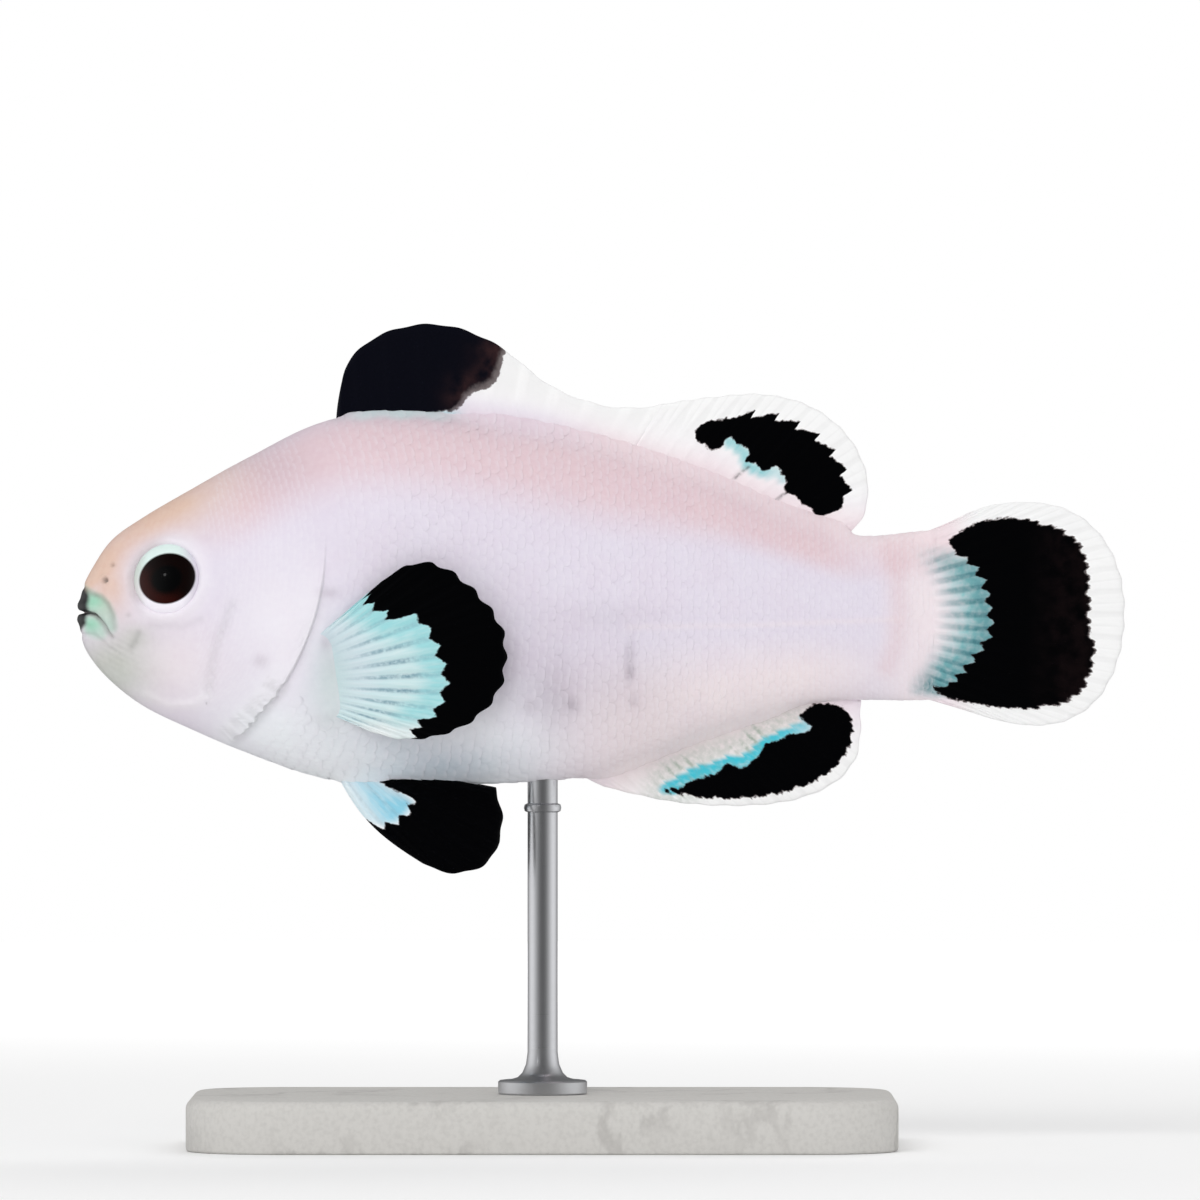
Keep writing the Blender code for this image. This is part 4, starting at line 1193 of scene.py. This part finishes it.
def make_post(low, high, foot):
    """A steel post turned with a flange at its foot and a collar under the fish."""
    centre, flange = (low.x + high.x) / 2, (high.x - low.x) / 2
    radius, top = POST_RADIUS * MM, high.z + POST_OVER * MM
    profile = [(0.0, foot)]
    for edge, level, turned in (
        (flange, foot, POST_FLANGE), (radius, foot, POST_FOOT), (radius, top, POST_COLLAR)
    ):
        profile += [(edge + out * MM, level + up * MM) for out, up in turned]
    profile.append((0.0, top))
    bm = bmesh.new()
    verts = [bm.verts.new((centre + r, 0, z)) for r, z in profile]
    edges = [bm.edges.new(pair) for pair in zip(verts, verts[1:])]
    axis = {"cent": (centre, 0, 0), "axis": (0, 0, 1), "angle": 2 * math.pi, "steps": 64}
    bmesh.ops.spin(bm, geom=verts + edges, use_merge=True, **axis)
    bmesh.ops.remove_doubles(bm, verts=bm.verts, dist=0.001 * MM)
    bmesh.ops.recalc_face_normals(bm, faces=bm.faces)
    mesh = new_mesh(bm, "steel_post")
    face_outwards(mesh)
    finished("steel_post", mesh, steel_finish(), "post", "stand_post", sharp=35)


# ---------------------------------------------------------------- finishes

class Number:
    """A shader socket that carries a number. Arithmetic on it adds Math nodes."""

    def __init__(self, nodes, socket):
        self.nodes = nodes
        self.socket = socket

    def maths(self, operation, *terms):
        """A Math node on the given terms, or on this number alone."""
        inputs = dict(enumerate(terms or (self,)))
        node = self.nodes.node("ShaderNodeMath", {"operation": operation}, inputs)
        return Number(self.nodes, node.outputs[0])

    def __add__(self, other):
        return self.maths("ADD", self, other)

    __radd__ = __add__

    def __sub__(self, other):
        return self.maths("SUBTRACT", self, other)

    def __rsub__(self, other):
        return self.maths("SUBTRACT", other, self)

    def __mul__(self, other):
        return self.maths("MULTIPLY", self, other)

    __rmul__ = __mul__

    def __truediv__(self, other):
        return self.maths("DIVIDE", self, other)

    def __rtruediv__(self, other):
        return self.maths("DIVIDE", other, self)

    def __pow__(self, other):
        return self.maths("POWER", self, other)

    def step(self, low, high):
        """0 below the first bound, 1 above the second and smooth between them."""
        settings = {"interpolation_type": "SMOOTHSTEP"}
        node = self.nodes.node("ShaderNodeMapRange", settings, {"Value": self, 1: low, 2: high})
        return Number(self.nodes, node.outputs[0])


class Nodes:
    """A node tree under construction."""

    def __init__(self, tree):
        self.tree = tree

    def node(self, kind, settings=None, inputs=None):
        """Adds a node, sets its settings first and then its sockets, from numbers, colours or links."""
        node = self.tree.nodes.new(kind)
        for name, value in (settings or {}).items():
            setattr(node, name, value)
        for name, value in (inputs or {}).items():
            self.feed(node.inputs[name], value)
        return node

    def feed(self, socket, value):
        value = value.socket if isinstance(value, Number) else value
        if isinstance(value, bpy.types.NodeSocket):
            self.tree.links.new(value, socket)
        elif socket.type == "RGBA" and len(value) == 3:
            socket.default_value = (*value, 1.0)
        else:
            socket.default_value = value


class Finish(Nodes):
    """A material under construction: one Principled shader and the nodes that feed it."""

    def __init__(self, name, **constants):
        self.material = bpy.data.materials.new(name)
        self.material.use_nodes = True
        super().__init__(self.material.node_tree)
        self.shader = self.tree.nodes["Principled BSDF"]
        for socket, value in constants.items():
            self.shader.inputs[socket.replace("_", " ")].default_value = value

    def mark(self, name):
        """An attribute painted on the mesh, as a number."""
        node = self.node("ShaderNodeAttribute", {"attribute_name": name})
        return Number(self, node.outputs["Fac"])

    def places(self):
        return self.node("ShaderNodeTexCoord").outputs["Object"]

    def noise(self, size, detail=2.0, roughness=0.5, at=None, squash=None):
        """Noise with features of about the given size in millimetres."""
        where = at or self.places()
        if squash is not None:
            where = self.node("ShaderNodeMapping", {}, {"Vector": where, "Scale": squash}).outputs[0]
        inputs = {"Vector": where, "Scale": 1.0 / (size * MM), "Detail": detail, "Roughness": roughness}
        return Number(self, self.node("ShaderNodeTexNoise", {}, inputs).outputs[0])

    def mix(self, share, first, second, blend="MIX"):
        settings = {"data_type": "RGBA", "blend_type": blend, "clamp_factor": True}
        return self.node("ShaderNodeMix", settings, {0: share, 6: first, 7: second}).outputs[2]

    def bump(self, height, distance, strength=1.0):
        inputs = {"Height": height, "Distance": distance * MM, "Strength": strength}
        return self.node("ShaderNodeBump", {}, inputs).outputs[0]

    def use(self, **links):
        for socket, value in links.items():
            self.feed(self.shader.inputs[socket.replace("_", " ")], value)
        return self.material


def scaled(colour, share):
    return tuple(share * part for part in colour)


def flesh_colour(finish):
    """The skin's colour from its painted marks, painted shade and highlight among them, with fine mottling.
    Fins share it at their roots.
    """
    paint = bpy.context.scene.clownfish_colours
    cloud = finish.noise(3.2, detail=3.0)
    fine = finish.noise(0.45, detail=2.0)
    # pale parts of the skin, among them the painted highlight on the cheek's rim
    colour = finish.mix(finish.mark("pale") * 0.8, paint.flank, paint.gill)
    layers = (
        ("cool", paint.belly, 0.8), ("warm", paint.vent, 0.7), ("blush", paint.back, 0.92),
        ("peach", paint.forehead, 1.0), ("chin", paint.chin, 0.8), ("shadow", paint.shadow, 0.62),
        ("white", paint.clear, 1.0), ("trim", paint.trim, 1.0), ("mint", paint.mint, 0.95),
        # the grey spot layer also carries painted shade at the gill opening
        ("smudge", paint.spot_and_shade_grey, 0.75), ("comb", paint.tail, 1.0), ("comb_line", paint.tail_line, 1.0),
        # the crease layer is painted shade
        ("fold", paint.crease_shade, 0.85), ("tip", paint.lip, 1.0),
    )
    for mark, tint, strength in layers:
        share = finish.mark(mark) * strength
        if mark in ("cool", "warm", "blush", "peach", "shadow", "smudge"):
            share = share * (0.72 + 0.56 * cloud)
        if mark in ("comb", "comb_line"):
            share = share * (0.35 + 1.1 * fine)
        colour = finish.mix(share, colour, tint)
    clouds = finish.mix(cloud.step(0.3, 0.7), paint.back, paint.gill)
    mottled = finish.mix(0.16, colour, clouds, "SOFT_LIGHT")
    speckle = (fine - 0.5) * 0.14 + 0.5
    grey = finish.node("ShaderNodeCombineColor", {}, {0: speckle, 1: speckle, 2: speckle}).outputs[0]
    return finish.mix(0.8, mottled, grey, "OVERLAY")


@once
def skin_finish():
    finish = Finish("fish_skin", Coat_Weight=0.12, Coat_Roughness=0.25, Specular_IOR_Level=0.4)
    colour = flesh_colour(finish)
    # Painted sheen: the scales' free edges a little lighter, towards the gill colour.
    edge = finish.mark("edge").step(0.72, 1.0)
    colour = finish.mix(edge * 0.2, colour, bpy.context.scene.clownfish_colours.gill)
    pores = finish.noise(0.22, detail=3.0, roughness=0.6)
    rough = 0.36 + 0.16 * finish.noise(1.6)
    return finish.use(Base_Color=colour, Roughness=rough, Normal=finish.bump(pores, 0.012, 0.5))


@once
def fin_finish(name, glow, line, black):
    """White web with black bands, a coloured glow and lines between the rays, streaked along the rays."""
    paint = bpy.context.scene.clownfish_colours
    finish = Finish(name + "_skin", Roughness=0.5, Coat_Weight=0.0, Specular_IOR_Level=0.06)
    ridge, ray, along = finish.mark("ridge"), finish.mark("ray"), finish.mark("along")
    blade = finish.node("ShaderNodeCombineXYZ", {}, {0: ray * 5.0, 1: along * 9.0}).outputs[0]
    streak = finish.noise(1.0 / MM, detail=3.0, at=blade)
    grain = finish.noise(0.32, detail=2.0)
    web = finish.mix(ridge.step(0.1, 0.8), scaled(paint.clear, 0.95), paint.clear)
    colour = finish.mix(finish.mark("flesh"), web, flesh_colour(finish))
    shade = finish.mark("glow") * (0.62 + 0.76 * streak)
    colour = finish.mix(shade, colour, glow)
    colour = finish.mix(finish.mark("line") * (grain + streak * 0.8).step(0.45, 1.15), colour, line)
    brown = finish.mark("brown")
    ink = finish.mark("ink") + (grain - 0.5) * 0.4 + (streak - 0.5) * 0.25
    colour = finish.mix(ink.step(-0.12, 0.02) * 0.85, colour, paint.rim)
    deep = ink.step(-0.04, brown * 0.6 + 0.06)
    dusk = brown * finish.noise(1.2, detail=3.0).step(0.25, 0.75) * 0.7
    dark = finish.mix(dusk, black, paint.rim)
    colour = finish.mix(deep, colour, dark)
    joints = (along * 130.0).maths("SINE") * ridge
    height = joints * 0.25 + finish.noise(0.18, detail=2.0)
    return finish.use(Base_Color=colour, Normal=finish.bump(height, 0.02, 0.4))


@once
def eye_finish():
    """Black pupil and dark iris inside a pale ring, painted darker at its two sides as shade, under a wet
    coat.
    """
    paint = bpy.context.scene.clownfish_colours
    finish = Finish("eye", Roughness=0.25, Coat_Weight=0.2, Coat_Roughness=0.03, Specular_IOR_Level=0.05)
    x, z = finish.mark("fish_x") - EYE_AT[0], finish.mark("fish_z") - EYE_AT[1]
    disc = (((x - 0.17) / 2.14) ** 2.0 + ((z - x * 0.08 + 0.07) / 1.91) ** 2.0) ** 0.5
    lower = (x * -0.6 - z * 0.75).step(-0.3, 1.3)
    iris = finish.mix(lower * disc.step(0.45, 0.8), scaled(paint.iris, 0.12), paint.iris)
    colour = finish.mix(disc.step(0.42, 0.62), paint.pupil, iris)
    # The ring: mint above, and below a lighter copy of the gill colour, pale as the ring is there and partly
    # painted light where the ring faces down.
    shine = finish.mix((z * 0.95 - x * 0.3).step(-0.3, 1.5), scaled(paint.gill, 1.12), paint.eye_ring)
    # Painted shade: a darker copy of the flank colour over the ring behind the eye.
    shine = finish.mix((x * 0.9 + z * 0.1).step(0.9, 2.2) * 0.75, shine, scaled(paint.flank, 0.86))
    # Painted shade: the chin's green grey over the ring in front of the eye.
    shine = finish.mix((x * -1.0).step(1.2, 2.4) * 0.6, shine, paint.chin)
    colour = finish.mix(disc.step(0.97, 1.05), colour, shine)
    return finish.use(Base_Color=colour)


@once
def stone_finish():
    paint = bpy.context.scene.clownfish_colours
    finish = Finish("honed_stone", Roughness=0.45, Specular_IOR_Level=0.35)
    warp = finish.noise(9.0, detail=4.0)
    streak = finish.noise(14.0, detail=6.0, roughness=0.62, squash=(1.0, 1.0, 0.6))
    vein = 1.0 - (streak - 0.5).maths("ABSOLUTE").step(0.0, 0.035)
    colour = finish.mix(vein * 0.55 * warp.step(0.35, 0.65), paint.stone, paint.vein)
    grain = finish.noise(0.35, detail=2.0)
    colour = finish.mix(grain.step(0.35, 0.8) * 0.25, colour, paint.vein)
    rough = 0.38 + 0.2 * grain
    return finish.use(Base_Color=colour, Roughness=rough, Normal=finish.bump(grain, 0.01, 0.5))


@once
def steel_finish():
    paint = bpy.context.scene.clownfish_colours
    finish = Finish("brushed_steel", Metallic=1.0, Roughness=0.3, Base_Color=(*paint.steel, 1.0))
    lines = finish.noise(0.5, detail=3.0, squash=(0.05, 0.05, 9.0))
    return finish.use(Roughness=0.22 + 0.2 * lines, Normal=finish.bump(lines, 0.004, 0.4))


@once
def floor_finish():
    finish = Finish("floor", Roughness=0.9, Base_Color=(0.93, 0.93, 0.93, 1.0), Specular_IOR_Level=0.1)
    finish.shader.inputs["Emission Strength"].default_value = 1.0
    away = finish.node("ShaderNodeVectorMath", {"operation": "LENGTH"}, {0: finish.places()}).outputs[1]
    far = Number(finish, away).step(0.12, 0.5)
    return finish.use(Emission_Color=finish.mix(far, (0.03, 0.03, 0.03), (0.3, 0.3, 0.3)))


# ---------------------------------------------------------------- stage

def make_stage(sizes):
    """A pale floor, soft lights and the camera, square on to the fish's left side."""
    scene = bpy.context.scene
    centre = (CAD_LOW + CAD_HIGH) / 2
    bm = bmesh.new()
    bmesh.ops.create_circle(bm, cap_ends=True, segments=96, radius=sizes.floor)
    bmesh.ops.translate(bm, verts=bm.verts, vec=(centre.x, centre.y, FLOOR))
    mesh = new_mesh(bm, "floor")
    mesh.materials.append(floor_finish())
    floor = bpy.data.objects.new("floor", mesh)
    scene.collection.objects.link(floor)
    floor.visible_glossy = False

    scene.view_settings.view_transform = "Standard"
    scene.view_settings.look = "None"
    scene.world = bpy.data.worlds.new("studio")
    light_world(scene.world)
    soft_light("key", (-0.22, -0.48, 0.46), 0.45, 1.75)
    soft_light("fill", (0.45, -0.50, 0.10), 0.50, 0.55)
    soft_light("back_light", (0.15, 0.50, 0.40), 0.45, 1.2)
    soft_light("catch_light", (-0.38, -0.56, 0.29), 0.06, 0.06, shine_only=True)

    camera = bpy.data.objects.new("camera", bpy.data.cameras.new("camera"))
    camera.data.sensor_width = 36.0
    camera.data.lens = camera.data.sensor_width * sizes.distance / (VIEW_WIDTH * MM)
    camera.data.clip_start, camera.data.clip_end = 0.01, 20.0
    camera.location = (VIEW_SIDE * MM, -sizes.distance, FLOOR + VIEW_HEIGHT * MM)
    camera.rotation_euler = (math.radians(90), 0, 0)
    scene.collection.objects.link(camera)
    scene.camera = camera


def light_world(world):
    """A white studio: even light on the fish, darker in reflections but for the two sides."""
    world.use_nodes = True
    nodes = Nodes(world.node_tree)
    rays = nodes.node("ShaderNodeLightPath").outputs
    seen, glossy = Number(nodes, rays["Is Camera Ray"]), Number(nodes, rays["Is Glossy Ray"])
    around = nodes.node("ShaderNodeTexCoord").outputs["Generated"]
    across = Number(nodes, nodes.node("ShaderNodeSeparateXYZ", {}, {0: around}).outputs["X"])
    shine = across.maths("ABSOLUTE") ** 3.0 * SIDE_SHINE + SHINE
    light = shine * glossy + (1.0 - glossy) * WORLD_LIGHT
    background = world.node_tree.nodes["Background"]
    nodes.feed(background.inputs["Color"], (1.0, 1.0, 1.0))
    nodes.feed(background.inputs["Strength"], light.maths("MAXIMUM", light, seen))


def soft_light(name, place, size, power, shine_only=False):
    """A round light aimed at the fish, either a soft one or a small one seen only in reflections."""
    light = bpy.data.lights.new(name, "AREA")
    light.shape = "DISK"
    light.size = size
    light.energy = power
    lamp = bpy.data.objects.new(name, light)
    lamp.location = place
    lamp.visible_glossy = shine_only
    lamp.visible_diffuse = not shine_only
    aim = Vector((0, 0, AXIS)) - Vector(place)
    lamp.rotation_euler = aim.to_track_quat("-Z", "Y").to_euler()
    bpy.context.scene.collection.objects.link(lamp)


# ---------------------------------------------------------------- add-on

class CLOWNFISH_OT_stage(bpy.types.Operator):
    """Set up the floor, the lights and the camera"""

    bl_idname = "clownfish.stage"
    bl_label = "Stage"

    def execute(self, context):
        make_stage(context.scene.clownfish_sizes)
        return {"FINISHED"}


class CLOWNFISH_OT_skin(bpy.types.Operator):
    """Model the skin of the head, trunk and tail stem"""

    bl_idname = "clownfish.skin"
    bl_label = "Skin"

    def execute(self, context):
        make_skin()
        return {"FINISHED"}


class CLOWNFISH_OT_scales(bpy.types.Operator):
    """Cover the skin with scales"""

    bl_idname = "clownfish.scales"
    bl_label = "Scales"

    def execute(self, context):
        make_scales()
        return {"FINISHED"}


class CLOWNFISH_OT_middle_fins(bpy.types.Operator):
    """Model the fins of the back, the belly and the tail"""

    bl_idname = "clownfish.middle_fins"
    bl_label = "Middle fins"

    def execute(self, context):
        make_middle_fins(context.scene.clownfish_colours)
        return {"FINISHED"}


class CLOWNFISH_OT_paired_fins(bpy.types.Operator):
    """Model the pectoral and pelvic fins"""

    bl_idname = "clownfish.paired_fins"
    bl_label = "Paired fins"

    def execute(self, context):
        make_paired_fins(context.scene.clownfish_colours)
        return {"FINISHED"}


class CLOWNFISH_OT_eyes(bpy.types.Operator):
    """Model the eyes"""

    bl_idname = "clownfish.eyes"
    bl_label = "Eyes"

    def execute(self, context):
        make_eyes()
        return {"FINISHED"}


class CLOWNFISH_OT_stand(bpy.types.Operator):
    """Model the stone base and the steel post"""

    bl_idname = "clownfish.stand"
    bl_label = "Stand"

    def execute(self, context):
        make_stand()
        return {"FINISHED"}


OPERATORS = (
    CLOWNFISH_OT_stage, CLOWNFISH_OT_skin, CLOWNFISH_OT_scales, CLOWNFISH_OT_middle_fins,
    CLOWNFISH_OT_paired_fins, CLOWNFISH_OT_eyes, CLOWNFISH_OT_stand,
)


class CLOWNFISH_PT_panel(bpy.types.Panel):
    """Lists the pieces of the clownfish and their settings"""

    bl_label = "Clownfish"
    bl_idname = "CLOWNFISH_PT_panel"
    bl_space_type = "VIEW_3D"
    bl_region_type = "UI"
    bl_category = "Clownfish"

    def draw(self, context):
        for operator in OPERATORS:
            self.layout.operator(operator.bl_idname)
        for group in (context.scene.clownfish_sizes, context.scene.clownfish_colours):
            box = self.layout.box()
            for name in type(group).__annotations__:
                box.prop(group, name)


CLASSES = (ClownfishColours, ClownfishSizes, *OPERATORS, CLOWNFISH_PT_panel)


def register():
    for cls in CLASSES:
        bpy.utils.register_class(cls)
    bpy.types.Scene.clownfish_colours = bpy.props.PointerProperty(type=ClownfishColours)
    bpy.types.Scene.clownfish_sizes = bpy.props.PointerProperty(type=ClownfishSizes)


def unregister():
    del bpy.types.Scene.clownfish_sizes
    del bpy.types.Scene.clownfish_colours
    for cls in reversed(CLASSES):
        bpy.utils.unregister_class(cls)


def main():
    register()
    for operator in OPERATORS:
        group, name = operator.bl_idname.split(".")
        getattr(getattr(bpy.ops, group), name)()


if __name__ == "__main__":
    main()
